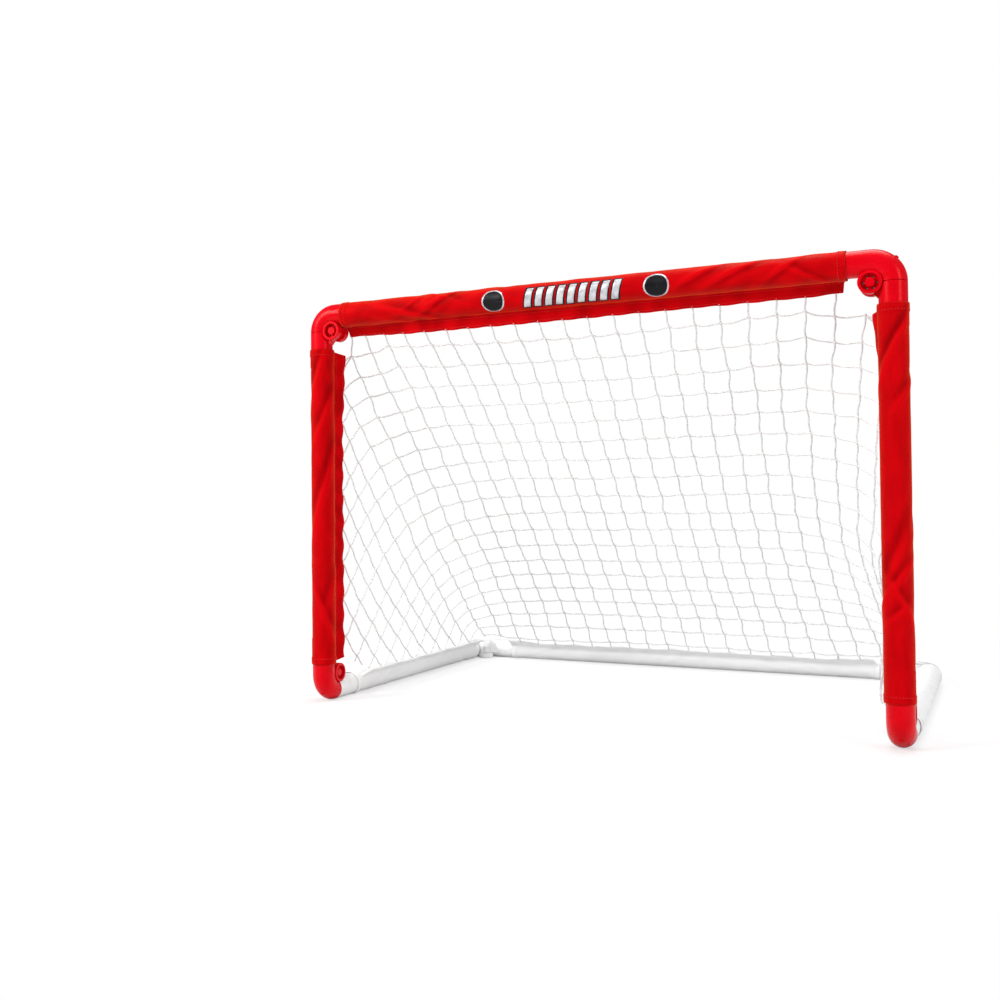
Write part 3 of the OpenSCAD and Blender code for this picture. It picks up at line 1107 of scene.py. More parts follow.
    def flap_amount(self, s: np.ndarray) -> np.ndarray:
        """How much of the flap there is.

        Args:
            s: Distance along the sleeve.

        Returns:
            0 past the flap's ends, 1 along it.
        """
        amount = np.ones_like(s)
        for rim, inset in zip((s, self.length - s), self.flap_insets):
            if inset > 0:
                amount = amount * smoothstep((rim - inset) / self.flap_edge_width + 0.5)
        return amount

    def flap_point(self, s: np.ndarray, out: float, side: float) -> tuple[np.ndarray, np.ndarray]:
        """A line on the flap.

        Args:
            s: Distance along the sleeve.
            out: Distance from the middle of the sleeve.
            side: Distance from the flap's middle plane.

        Returns:
            The coordinates along the flap and across it.
        """
        share = (out - LAYOUT.sleeve_r) / (LAYOUT.tip_reach - LAYOUT.sleeve_r)
        pull = np.cos(math.tau * s / self.pull_pitch)
        slow = np.sin(math.tau * s / (2.7 * self.pull_pitch) + self.seed)
        quick = np.sin(math.tau * s / (1.3 * self.pull_pitch) + 2 * self.seed)
        x = out + share * (self.pull * (pull - 0.7))
        y = side + max(share, 0.0) * self.flap_wave * (slow + 0.6 * quick)
        return x + 0 * s, y + 0 * s

    def place(
        self, s: np.ndarray, x: np.ndarray, y: np.ndarray, above: float = 0.0
    ) -> np.ndarray:
        """Points of the section in the goal's frame, kept above the floor.

        Args:
            s: Distance along the sleeve.
            x: Distance from the middle towards the flap.
            y: Distance across it.
            above: Least height over the floor gap of a sleeve that lies on the floor.

        Returns:
            One point in the last axis.
        """
        cos, sin = np.cos(self.turn(s)), np.sin(self.turn(s))
        x, y = x * cos - y * sin, x * sin + y * cos
        origin = np.array(self.start) + self.loose(s)[..., None] * np.array(self.shift)
        p = origin + s[..., None] * self.a + x[..., None] * self.f + y[..., None] * self.b
        if self.on_floor:
            p[..., 2] = np.maximum(p[..., 2], self.floor_gap + above)
        return p

    def flap_edge(self, s: np.ndarray) -> np.ndarray:
        """The middle of the flap's round edge, where the net is sewn on.

        Args:
            s: Distance along the sleeve.

        Returns:
            One point in the last axis.
        """
        x, y = self.flap_point(s, LAYOUT.tip_reach, 0.0)
        return self.place(s, x, y)

    def on_tube(self, s: np.ndarray, theta: np.ndarray, lift: float) -> np.ndarray:
        """Points that lie on the tube.

        Args:
            s: Distance along the sleeve.
            theta: Angle from the flap.
            lift: Height above the cloth.

        Returns:
            One point in the last axis.
        """
        r = self.tube_radius(s, theta) + lift
        return self.place(s, r * np.cos(theta), r * np.sin(theta))

    def flap_section(self) -> list[tuple[float, float]]:
        """Outline of the flap in the section: its lower face, its round edge and its upper face.

        Returns:
            For each point, its distance from the middle of the sleeve and its distance from the
            flap's middle plane.
        """
        half = self.flap_thick / 2
        root, reach = LAYOUT.sleeve_r, LAYOUT.tip_reach
        outs = np.linspace(root + self.flap_start, reach, self.flap_steps)
        round_tip = np.radians([-90, -55, -20, 20, 55, 90])
        tip = [(reach + half * math.cos(t), half * math.sin(t)) for t in round_tip]
        foot = (root + self.foot_start, self.foot_share * half)
        upper = [(o, half) for o in outs[-2::-1]] + [foot]
        lower = [(o, -y) for o, y in upper[::-1]]
        return lower + tip + upper

    def outer_section(
        self, s: np.ndarray, theta: np.ndarray, angle_in: np.ndarray
    ) -> tuple[np.ndarray, np.ndarray]:
        """Section of the outer face at every station: the flap, then the tube.

        Args:
            s: Distances along the sleeve, in a column.
            theta: Angles of the tube's points, in a row.
            angle_in: For each point of the flap, the angle that it has where the flap ends.

        Returns:
            The coordinates towards the flap and across it.
        """
        along = s[:, 0]
        have = self.flap_amount(along)
        xs, ys = [], []
        for (out, side), angle in zip(self.flap_section(), angle_in):
            x, y = self.flap_point(along, out, side)
            flat = self.tube_radius(along, np.full(len(along), angle))
            xs.append(have * x + (1 - have) * flat * math.cos(angle))
            ys.append(have * y + (1 - have) * flat * math.sin(angle))
        r = self.tube_radius(s, theta)
        x = np.concatenate([np.stack(xs, 1), r * np.cos(theta)], 1)
        y = np.concatenate([np.stack(ys, 1), r * np.sin(theta)], 1)
        return x, y

    @staticmethod
    def skin_faces(count: int, around: int) -> np.ndarray:
        """Faces of the closed skin: outer face, inner face and the cloth's two ends.

        Args:
            count: Number of stations.
            around: Number of points round each of them.

        Returns:
            Four vertex indices for each face.
        """
        i, j = np.meshgrid(np.arange(count - 1), np.arange(around), indexing="ij")
        k = (j + 1) % around
        here, ahead = i * around, (i + 1) * around
        outer = np.stack([here + j, here + k, ahead + k, ahead + j], -1)
        base = count * around
        inside = outer[..., ::-1] + base
        ring = np.arange(around)
        follow = (ring + 1) % around
        first = np.stack([ring, ring + base, follow + base, follow], -1)
        last = first[:, ::-1] + (count - 1) * around
        faces = np.concatenate([outer.reshape(-1, 4), inside.reshape(-1, 4), first, last])
        return faces[:, ::-1]

    def build(self, wardrobe: Wardrobe) -> bpy.types.Object:
        """Builds the closed mesh: outer face, inner face and the edges of the cloth.

        Args:
            wardrobe: The finishes.

        Returns:
            The sleeve.
        """
        count = max(8, round(self.length / self.station)) + 1
        s = np.linspace(0, self.length, count)[:, None]
        root = self.flap_root
        theta = np.linspace(root, math.tau - root, self.tube_points)[None, :]
        angle_in = np.linspace(-root, root, len(self.flap_section()) + 2)[1:-1]
        x, y = self.outer_section(s, theta, angle_in)
        angles = np.concatenate([angle_in[None, :], theta], 1)
        most = self.radius + self.inner_rise
        least = self.clear(s, angles) - self.wall - self.inner_slack
        inner = np.maximum(np.minimum(self.tube_radius(s, angles) - self.wall, most), least)
        inner_x, inner_y = inner * np.cos(angles), inner * np.sin(angles)
        wide = np.broadcast_to(s, x.shape)
        outer_points = self.place(wide, x, y).reshape(-1, 3)
        inner_points = self.place(wide, inner_x, inner_y, above=self.wall).reshape(-1, 3)
        points = np.concatenate([outer_points, inner_points])
        faces = self.skin_faces(count, x.shape[1]).tolist()
        obj = mesh_object(self.name, points, faces, wardrobe.get(self.cloth))
        self.map_cloth(obj, x, y, s)
        self.paint_crease_shade(obj, wide, angles)
        return obj

    def map_cloth(
        self, obj: bpy.types.Object, x: np.ndarray, y: np.ndarray, s: np.ndarray
    ) -> None:
        """Writes the cloth's own map, in metres along and round the sleeve.

        Args:
            obj: The sleeve.
            x: Section coordinates towards the flap.
            y: Section coordinates across it.
            s: Distance along the sleeve.
        """
        mesh = obj.data
        rows, around = x.shape
        mean_x, mean_y = x.mean(0), y.mean(0)
        step = np.hypot(np.diff(mean_x, append=mean_x[0]), np.diff(mean_y, append=mean_y[0]))
        girth = np.concatenate([[0], np.cumsum(step)])
        loops = np.zeros(len(mesh.loops), int)
        mesh.loops.foreach_get("vertex_index", loops)
        local = loops % (rows * around)
        u = s[:, 0][local // around]
        column = local % around
        quad = column.reshape(-1, 4)
        wraps = (quad.max(1) - quad.min(1) > 1)[:, None] & (quad == 0)
        v = girth[np.where(wraps.reshape(-1), around, column)]
        layer = mesh.uv_layers.new(name="cloth")
        layer.data.foreach_set("uv", np.stack([u, v], -1).astype(np.float32).ravel())

    def paint_crease_shade(self, obj: bpy.types.Object, s: np.ndarray, angles: np.ndarray) -> None:
        """Stores painted shade, which the finish reads: darker in crease valleys and on the inner
        face, lighter on crests.

        Args:
            obj: The sleeve.
            s: Distance along the sleeve for each outer point.
            angles: Angle from the flap for each outer point.
        """
        high = self.painted_shade_mean + self.creases(s, angles) / (self.painted_shade_range * self.crease)
        # The inner face gets a dark painted shade.
        values = np.concatenate([np.clip(high, 0, 1).ravel(), np.full(s.size, self.painted_inner_shade)])
        layer = obj.data.attributes.new("painted_crease_shade", "FLOAT", "POINT")
        layer.data.foreach_set("value", values.astype(np.float32))

    def seam_lines(self) -> tuple[list[np.ndarray], list[np.ndarray]]:
        """The paths of the stitching.

        Returns:
            Open lines along the flap, and rings round the hems.
        """
        ends = [inset + self.seam_inset for inset in self.flap_insets]
        s = np.arange(ends[0], self.length - ends[1], self.seam_step)
        lines = []
        for out in (LAYOUT.sleeve_r + self.root_seam, LAYOUT.tip_reach - self.tip_seam):
            for side in (-1, 1):
                x, y = self.flap_point(s, out, side * (self.flap_thick / 2 + self.stitch_lift))
                lines.append(self.place(s, x, y))
        theta = np.linspace(self.ring_gap, math.tau - self.ring_gap, self.ring_points)
        rings = []
        for at in (self.hem_width - self.hem_seam, self.length - self.hem_width + self.hem_seam):
            rings.append(self.on_tube(np.full_like(theta, at), theta, self.stitch_lift))
        return lines, rings

    def dress(self, wardrobe: Wardrobe, stitches: StitchTree) -> None:
        """Builds the sleeve with its stitching and puts both on their body.

        Args:
            wardrobe: The finishes.
            stitches: The tree that lays the thread.
        """
        sleeve = self.build(wardrobe)
        lines, rings = self.seam_lines()
        thread = line_object(f"{self.name}_stitching", lines + rings, closed=False)
        stitches.bake(thread, **STITCH_SIZES, Material=wardrobe.get(self.thread))
        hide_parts(self.node)
        for obj in (sleeve, thread):
            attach(obj, self.body.value)
        LOG.info("%s: %d triangles", sleeve.name, triangle_count(sleeve.data))


class SleeveSet:
    """The six sleeves of the goal, from the layout.

    The turns of a flap are pairs: the share of the sleeve's length, and the turn in degrees there.
    """

    # From a hinge's pin to the sleeve beside it, at the top of a post, and both of the crossbar's.
    pin_gap: float = 13 * MM
    top_gap: float = 22.5 * MM
    bar_gaps: float = 36 * MM

    # How far the floor sleeves reach over the ends of the mouldings' legs.
    rail_overlap: float = 4 * MM
    rear_overlap: float = 2 * MM

    bar_turns: tuple[tuple[float, float], ...] = (
        (0, 8), (0.08, 4), (0.16, -12), (0.42, -12), (0.62, -2), (0.85, 4), (0.95, 5), (1, 19),
    )
    post_turns: tuple[tuple[float, float], ...] = ((0, 27), (0.75, 27), (0.9, 18), (1, 4))
    rail_turns: tuple[tuple[float, float], ...] = ((0, 4), (1, 4))
    rear_turns: tuple[tuple[float, float], ...] = (
        (0, 10), (0.08, 18), (0.5, 15), (0.92, 18), (1, 10),
    )

    # Sharp folds: place along the sleeve, angle from the flap, slope, reach, width and height.
    bar_folds: tuple[Fold, ...] = (
        Fold(0.135, 4.3, -1.6, 0.016, 0.0035, 0.0011),
        Fold(0.452, 4.0, -1.9, 0.013, 0.0032, 0.0011),
        Fold(0.487, 4.1, -2.0, 0.014, 0.0034, 0.0012),
        Fold(0.540, 4.2, -1.4, 0.012, 0.0030, 0.0010),
        Fold(0.565, 4.6, 1.8, 0.012, 0.0028, 0.0008),
    )
    left_post_folds: tuple[Fold, ...] = (
        Fold(0.372, 4.0, 2.4, 0.021, 0.0045, 0.0014),
        Fold(0.318, 4.4, 2.0, 0.018, 0.0040, 0.0011),
        Fold(0.215, 4.1, 3.0, 0.022, 0.0050, 0.0012),
        Fold(0.060, 4.3, -2.2, 0.017, 0.0040, 0.0010),
    )
    right_post_folds: tuple[Fold, ...] = (
        Fold(0.358, 2.55, 2.2, 0.020, 0.0038, 0.0013),
        Fold(0.372, 3.10, 1.8, 0.013, 0.0030, 0.0008),
        Fold(0.118, 2.60, 1.2, 0.020, 0.0038, 0.0013),
        Fold(0.104, 3.00, -1.5, 0.014, 0.0034, 0.0009),
        Fold(0.090, 2.80, 0.8, 0.012, 0.0030, 0.0008),
    )

    red: dict[str, object] = {
        "cloth": RED_CLOTH,
        "thread": RED_THREAD,
        "slot": Slot.RED_FABRIC,
        "body": Body.FRONT,
    }
    white: dict[str, object] = {
        "cloth": WHITE_CLOTH,
        "thread": WHITE_THREAD,
        "slot": Slot.WHITE_FABRIC,
        "body": Body.BASE,
        "crease": 0.55 * MM,
        "on_floor": True,
    }

    def __init__(self) -> None:
        """Works out where each sleeve lies."""
        self.crossbar = self.make_crossbar()
        self.all = [self.crossbar]
        for side, word in ((-1, "left"), (1, "right")):
            self.all += [self.make_post(side, word), self.make_rail(side, word)]
        self.all.append(self.make_rear_bar())

    def make_crossbar(self) -> FabricSleeve:
        """Describes the crossbar's sleeve.

        Returns:
            The sleeve, not yet built.
        """
        k = LAYOUT
        tilt = (0.0, math.sin(k.bar_flap_tilt), -math.cos(k.bar_flap_tilt))
        left_end = -k.hinge_x + self.pin_gap
        return FabricSleeve(
            "crossbar_fabric", "crossbar_sleeve", rests_on=("crossbar_pipe",),
            start=(left_end, k.front_y, k.bar_z), axis=(1.0, 0.0, 0.0), flap=tilt,
            shift=tuple(k.sleeve_slack * c for c in tilt), length=2 * k.hinge_x - self.bar_gaps,
            flap_insets=(0.0, 4.5 * MM), seed=11, moulded_start=32 * MM, moulded_end=22 * MM,
            turns=self.bar_turns, fold_count=9, folds=list(self.bar_folds), **self.red,
        )

    def make_post(self, side: int, word: str) -> FabricSleeve:
        """Describes a post's sleeve.

        Args:
            side: -1 on the left, 1 on the right.
            word: The side's name.

        Returns:
            The sleeve, not yet built.
        """
        k = LAYOUT
        inward = (-side * math.sin(k.post_flap_turn), math.cos(k.post_flap_turn), 0.0)
        low = k.low_pin_z + self.pin_gap
        return FabricSleeve(
            f"{word}_post_fabric", f"{word}_post_sleeve", rests_on=(f"{word}_post_pipe",),
            start=(side * k.post_x, k.front_y, low), axis=(0.0, 0.0, 1.0), flap=inward,
            shift=tuple(k.sleeve_slack * c for c in inward),
            length=k.top_pin_z - self.top_gap - low, flap_insets=(4 * MM, 4 * MM),
            seed=23 + side, moulded_start=32 * MM, moulded_end=self.top_gap, radius=14.95 * MM,
            turns=self.post_turns, turn_sign=-side,
            folds=list(self.left_post_folds if side < 0 else self.right_post_folds),
            fold_count=4, fold_size=1.3, wave_share=0.45, pull=0.9 * MM, **self.red,
        )

    def make_rail(self, side: int, word: str) -> FabricSleeve:
        """Describes a base rail's sleeve.

        Args:
            side: -1 on the left, 1 on the right.
            word: The side's name.

        Returns:
            The sleeve, not yet built.
        """
        k = LAYOUT
        turn = k.rail_flap_turn
        begin = k.low_pin_y + k.leg_len - self.rail_overlap
        return FabricSleeve(
            f"{word}_rail_fabric", f"{word}_rail_sleeve", rests_on=(f"{word}_rail_pipe",),
            start=(side * k.post_x, begin, k.rail_z), axis=(0.0, 1.0, 0.0),
            flap=(-side * math.sin(turn), 0.0, math.cos(turn)),
            shift=(0.0, 0.0, k.base_lift), length=k.rear_pin_y - self.pin_gap - begin,
            flap_insets=(15.5 * MM, 11 * MM), seed=37 + side, moulded_start=self.rail_overlap,
            moulded_end=32 * MM, radius=15.5 * MM, turns=self.rail_turns,
            turn_sign=-side, **self.white,
        )

    def make_rear_bar(self) -> FabricSleeve:
        """Describes the rear bar's sleeve, which lies closer to its pipe than the others.

        Returns:
            The sleeve, not yet built.
        """
        k = LAYOUT
        half = k.hinge_x - k.leg_len + self.rear_overlap
        rise = k.rear_flap_rise
        return FabricSleeve(
            "rear_bar_fabric", "rear_bar_sleeve", rests_on=("rear_bar_pipe",),
            start=(-half, k.rear_y, k.rail_z), axis=(1.0, 0.0, 0.0),
            flap=(0.0, -math.cos(rise), math.sin(rise)), shift=(0.0, 0.0, 0.9 * MM),
            length=2 * half, flap_insets=(0.0, 6 * MM), seed=53, moulded_start=6 * MM,
            moulded_end=6 * MM, radius=14.3 * MM, turns=self.rear_turns, **self.white,
        )

    @property
    def right_post(self) -> FabricSleeve:
        """The right post's sleeve, whose flap the side nets follow."""
        return next(s for s in self.all if s.name == "right_post_fabric")

    @property
    def rear_bar(self) -> FabricSleeve:
        """The rear bar's sleeve, whose flap holds the end of the back net."""
        return self.all[-1]

    def build(self, wardrobe: Wardrobe, stitches: StitchTree) -> None:
        """Builds every sleeve.

        Args:
            wardrobe: The finishes.
            stitches: The tree that lays the thread.
        """
        for sleeve in self.all:
            sleeve.dress(wardrobe, stitches)


# ---- Printed stripes on the crossbar ---------------------------------------------------------


@dataclass(frozen=True)
class Print:
    """Plain slanted bars between two plain discs, printed on the front of the crossbar's sleeve."""

    disc_xs: tuple[float, float] = (-94.5 * MM, 101.5 * MM)
    disc_r: float = 14.5 * MM
    bars_from: float = -50 * MM
    bar_step: float = 13.2 * MM
    bar_count: int = 9
    bar_width: float = 8.0 * MM
    bar_height: float = 23.0 * MM
    slant: float = 6.0 * MM
    rim: float = 1.7 * MM
    ink: float = 0.3 * MM
    first_lift: float = 0.12
    lift_step: float = 0.1
    face_angle: float = math.radians(259)

    def patch(self, sleeve: FabricSleeve, x: np.ndarray, w: np.ndarray, lift: float) -> np.ndarray:
        """Lays points on the sleeve's face.

        Args:
            sleeve: The crossbar's sleeve.
            x: Distance from the middle of the goal.
            w: Distance up the face.
            lift: Height of the ink above the cloth.

        Returns:
            The points.
        """
        s = x - sleeve.start[0]
        theta = self.face_angle - w / sleeve.radius - sleeve.turn(s)
        return sleeve.on_tube(s, theta, lift)

    def bar(self, centre: float, grow: float) -> tuple[np.ndarray, np.ndarray]:
        """Makes the grid of one slanted bar.

        Args:
            centre: Its middle, from the middle of the goal.
            grow: How far it is grown on each side.

        Returns:
            Distance from the middle of the goal and distance up the face.
        """
        u, v = np.meshgrid(np.linspace(-1, 1, 7), np.linspace(-1, 1, 13), indexing="ij")
        height = self.bar_height / 2 + grow
        return centre + u * (self.bar_width / 2 + grow) + v * self.slant / 2, v * height

    def disc(self, centre: float, radius: float) -> tuple[np.ndarray, np.ndarray]:
        """Makes the grid of one disc, as rings about its middle.

        Args:
            centre: Its middle, from the middle of the goal.
            radius: Its radius.

        Returns:
            Distance from the middle of the goal and distance up the face.
        """
        r, a = np.meshgrid(np.linspace(0.02, 1, 8), np.linspace(0, math.tau, 37), indexing="ij")
        return centre + radius * r * np.cos(a), radius * r * np.sin(a)

    def sheets(
        self, sleeve: FabricSleeve, grids: list[tuple[np.ndarray, np.ndarray]], lift: float
    ) -> tuple[np.ndarray, list[list[int]]]:
        """Joins grids into one mesh with a thin wall of ink.

        Args:
            sleeve: The crossbar's sleeve.
            grids: Coordinates of each grid on the face.
            lift: Height of the ink above the cloth.

        Returns:
            Points and faces.
        """
        points: list[np.ndarray] = []
        faces: list[list[int]] = []
        first = 0
        for x, w in grids:
            rows, columns = x.shape
            for height in (lift, lift - self.ink):
                points.append(self.patch(sleeve, x, w, height).reshape(-1, 3))
            size = rows * columns
            for i in range(rows - 1):
                for j in range(columns - 1):
                    a = first + i * columns + j
                    quad = [a, a + 1, a + columns + 1, a + columns]
                    faces.append(quad)
                    faces.append([q + size for q in quad[::-1]])
            rim = (
                [i * columns for i in range(rows)]
                + [(rows - 1) * columns + j for j in range(1, columns)]
                + [i * columns + columns - 1 for i in range(rows - 2, -1, -1)]
                + [j for j in range(columns - 2, 0, -1)]
            )
            for p, q in zip(rim, rim[1:] + rim[:1]):
                faces.append([first + q, first + p, first + p + size, first + q + size][::-1])
            first += 2 * size
        return np.concatenate(points), faces

    def build(self, sleeve: FabricSleeve, wardrobe: Wardrobe) -> None:
        """Prints the black grounds and the silver faces.

        Args:
            sleeve: The crossbar's sleeve.
            wardrobe: The finishes.
        """
        centres = [self.bars_from + self.bar_step * i for i in range(self.bar_count)]
        bars = {
            "black": [self.bar(c, self.rim) for c in centres],
            "silver": [self.bar(c, 0.0) for c in centres],
        }
        discs = {
            "silver": [self.disc(c, self.disc_r) for c in self.disc_xs],
            "black": [self.disc(c, self.disc_r - self.rim) for c in self.disc_xs],
        }
        inks = {"black": BLACK_INK, "silver": SILVER_INK}
        for what, shapes in (("bars", bars), ("discs", discs)):
            for layer, (ink, grids) in enumerate(shapes.items()):
                lift = (self.first_lift + self.lift_step * layer) * MM
                points, faces = self.sheets(sleeve, grids, lift)
                name = f"crossbar_print_{what}_{ink}"
                obj = mesh_object(name, points, faces, wardrobe.get(inks[ink]))
                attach(obj, Body.FRONT.value)
                LOG.info("%s: %d triangles", obj.name, triangle_count(obj.data))


# ---- Net -------------------------------------------------------------------------------------


@dataclass
class KnottedNet:
    """A knotted net that hangs from the crossbar to the rear bar and wraps round to both sides."""

    bar: FabricSleeve
    post: FabricSleeve
    rear: FabricSleeve

    # The grid of knots.
    rows: int = 19
    pitch_across: float = 30.1 * MM
    pitch_down: float = 33.0 * MM
    middle: float = 13.7 * MM
    first_row: float = 12.0 * MM
    row_bow: float = 14.6 * MM
    draw_in: float = 0.07
    uneven: float = 0.9 * MM
    last_back: float = 290.0 * MM
    seed: int = 7

    # The surface that it hangs in, and how finely that is tabulated.
    sag: float = 12.2 * MM
    sag_low: float = 0.685
    corner_power: float = 4.6
    slope_steps: int = 241
    width_steps: int = 261
    section_steps: int = 700
    settle_steps: int = 12

    # The droop of the first rows at the upper corners.
    corner_droop: float = 15.0 * MM
    droop_rows: float = 2.6
    droop_from: float = 250.0 * MM
    droop_over: float = 50.0 * MM

    # The edges that it is sewn to.
    post_flap_low: float = 52.0 * MM
    rail_line: tuple[float, float] = (-163.0 * MM, LAYOUT.rail_edge_z - 1.7 * MM)
    flap_from: float = -306.5 * MM
    flap_to: float = 288.5 * MM
    past_flap: tuple[float, float] = (12.0 * MM, 4.0 * MM)
    rear_half: float = 272.0 * MM
    sewn_in: float = 1.2 * MM
    overhang: float = 1.5 * MM

    # How far from a flap the net follows it, and the ends of a flap that it doesn't follow.
    top_ease: float = 60.0 * MM
    rear_ease: float = 90.0 * MM
    rear_fade: float = 40.0 * MM
    post_ease: float = 90.0 * MM
    post_margin: float = 5.0 * MM
    bar_margin: float = 6.0 * MM
    rear_margin: float = 8.0 * MM

    # Where its grid ends at the sides.
    edge_gap: float = 7.0 * MM
    edge_band: float = 8.0 * MM
    edge_pull: float = 4.0 * MM
    tie_drop: float = 9.0 * MM
    crossing_steps: int = 30

    # The twine: its size, its knots and its slack.
    twine_r: float = 1.0 * MM
    twine_sides: int = 6
    knot_r: float = 1.9 * MM
    strand_steps: int = 6
    hang: float = 1.9 * MM
    row_bend: float = 0.5 * MM
    column_bend: float = 0.8 * MM
    fold_wave: float = 0.012

    def __post_init__(self) -> None:
        """Tabulates the surface that the net hangs in."""
        (y0, z0), (y1, z1) = LAYOUT.bar_tip, LAYOUT.rear_tip
        self.run = math.hypot(y1 - y0, z1 - z0)
        self.cos, self.sin = (y1 - y0) / self.run, (z0 - z1) / self.run
        self.s_grid = np.linspace(0, self.run, self.slope_steps)
        self.q_grid = np.linspace(0, 1, self.width_steps)
        spread = 1 - (1 - np.linspace(0, 1, self.section_steps)) ** 2
        power = self.corner_power
        corner = 1 - np.clip(1 - spread**power, 0, 1) ** (1 / power)
        xs, ds, lengths = [], [], []
        for s in self.s_grid:
            t = s / self.run
            middle = 4 * self.sag * t * (1 - t) * (1 + self.sag_low * (2 * t - 1))
            reach, wide = self.side_edge(s, middle)
            x = wide * spread
            d = middle + (reach - middle) * corner
            arc = np.concatenate([[0], np.cumsum(np.hypot(np.diff(x), np.diff(d)))])
            xs.append(np.interp(self.q_grid * arc[-1], arc, x))
            ds.append(np.interp(self.q_grid * arc[-1], arc, d))
            lengths.append(arc[-1])
        self.x_table, self.d_table = np.array(xs), np.array(ds)
        self.half_length = np.array(lengths)

    def side_edge(self, s: float, middle: float) -> tuple[float, float]:
        """Where the section at one place meets the side's flaps.

        Args:
            s: Distance down the slope.
            middle: Drop of the net's middle there.

        Returns:
            The drop of the edge, and its distance from the middle of the goal.
        """
        y0, z0 = LAYOUT.bar_tip
        rail_y, rail_z = self.rail_line
        rail = (z0 - rail_z - s * self.sin) / self.cos
        drop, x = max(middle, rail), LAYOUT.net_x
        for _ in range(self.settle_steps):
            z = z0 - s * self.sin - drop * self.cos
            post_x, post_y = self.post_edge(z)
            post = (y0 - post_y + s * self.cos) / self.sin
            lowest = self.post_edge(self.post_flap_low)[1]
            slant = (rail_z - self.post_flap_low) / (rail_y - lowest)
            above = z0 - self.post_flap_low - s * self.sin
            gusset = above - slant * (y0 - lowest + s * self.cos)
            gusset /= self.cos - slant * self.sin
            drop = 0.5 * drop + 0.5 * max(middle, min(rail, post, gusset))
            near = smoothstep((rail - drop) / self.post_ease)
            x = LAYOUT.net_x + (post_x - LAYOUT.net_x) * float(near)
        return drop, x

    def post_edge(self, z: float) -> tuple[float, float]:
        """X and Y of the right post flap's edge at one height.

        Args:
            z: The height.

        Returns:
            Its X and its Y.
        """
        sleeve = self.post
        highest = sleeve.length - self.post_margin
        s = np.array([min(max(z - sleeve.start[2], self.post_margin), highest)])
        edge = sleeve.flap_edge(s)[0]
        return float(edge[0]), float(edge[1])

    @staticmethod
    def flap_shift(
        sleeve: FabricSleeve, x: np.ndarray, tip: tuple[float, float], margin: float
    ) -> np.ndarray:
        """How far the edge of a flap lies from its nominal place.

        Args:
            sleeve: The crossbar's or the rear bar's sleeve.
            x: Distance from the middle of the goal.
            tip: Nominal Y and Z of the edge.
            margin: Length at the sleeve's right end where the edge isn't read.

        Returns:
            The shift across the sleeve.
        """
        s = np.clip(x - sleeve.start[0], 0.0, sleeve.length - margin)
        shift = sleeve.flap_edge(s) - np.array([0.0, *tip])
        shift[..., 0] = 0.0
        return shift

    def half(self, s: np.ndarray | float) -> np.ndarray:
        """Length of the net's section from its middle to its side edge.

        Args:
            s: Distance down the slope.

        Returns:
            The length.
        """
        return np.interp(s, self.s_grid, self.half_length)

    def surface(self, a: np.ndarray, s: np.ndarray) -> np.ndarray:
        """Points of the hanging net.

        Args:
            a: Distance from the middle, along the net's section.
            s: Distance down the slope.

        Returns:
            One point in the last axis.
        """
        a, s = np.broadcast_arrays(np.asarray(a, float), np.asarray(s, float))
        q = np.clip(np.abs(a) / self.half(s), 0, 1) * (len(self.q_grid) - 1)
        r = np.clip(s / self.run, 0, 1) * (len(self.s_grid) - 1)
        qi = np.minimum(q.astype(int), len(self.q_grid) - 2)
        ri = np.minimum(r.astype(int), len(self.s_grid) - 2)
        qf, rf = q - qi, r - ri

        def pick(table: np.ndarray) -> np.ndarray:
            """Reads a table between its entries.

            Args:
                table: Its rows run down the slope, its columns from the middle to the side.

            Returns:
                Its value at each place.
            """
            low = table[ri, qi] * (1 - qf) + table[ri, qi + 1] * qf
            high = table[ri + 1, qi] * (1 - qf) + table[ri + 1, qi + 1] * qf
            return low * (1 - rf) + high * rf

        x, d = np.sign(a) * pick(self.x_table), pick(self.d_table)
        y0, z0 = LAYOUT.bar_tip
        s = np.clip(s, -self.overhang, self.run + self.overhang)
        hung = np.stack([x, y0 + s * self.cos - d * self.sin, z0 - s * self.sin - d * self.cos], -1)
        at_bar = smoothstep(1 - s / self.top_ease)
        at_rear = smoothstep(1 - (self.run - s) / self.rear_ease)
        at_rear = at_rear * (1 - smoothstep((np.abs(a) - self.rear_half) / self.rear_fade))
        top_shift = self.flap_shift(self.bar, x, LAYOUT.bar_tip, self.bar_margin)
        rear_shift = self.flap_shift(self.rear, x, LAYOUT.rear_tip, self.rear_margin)
        return hung + top_shift * at_bar[..., None] + rear_shift * at_rear[..., None]

    def row_s(self, row: int, a: float) -> float:
        """Distance down the slope of a row at one place.

        Args:
            row: The row.
            a: Distance from the middle, along the net's section.

        Returns:
            The distance.
        """
        rest = 1 - row / (self.rows - 1)
        bow = self.row_bow * rest * max(0.0, 1 - (a / LAYOUT.net_x) ** 2)
        corner = float(smoothstep((abs(a) - self.droop_from) / self.droop_over))
        droop = self.corner_droop * math.exp(-row / self.droop_rows) * corner
        return self.first_row + bow + droop + row * self.pitch_down

    def column_a(self, column: int, s: float) -> float:
        """Distance of a column from the middle at one place.

        Args:
            column: The column.
            s: Distance down the slope.

        Returns:
            The distance along the net's section, below 0 on the left.
        """
        t = min(max(s / self.run, 0.0), 1.0)
        wide = self.middle + column * self.pitch_across
        return wide * (1 - self.draw_in * 4 * t * (1 - t))

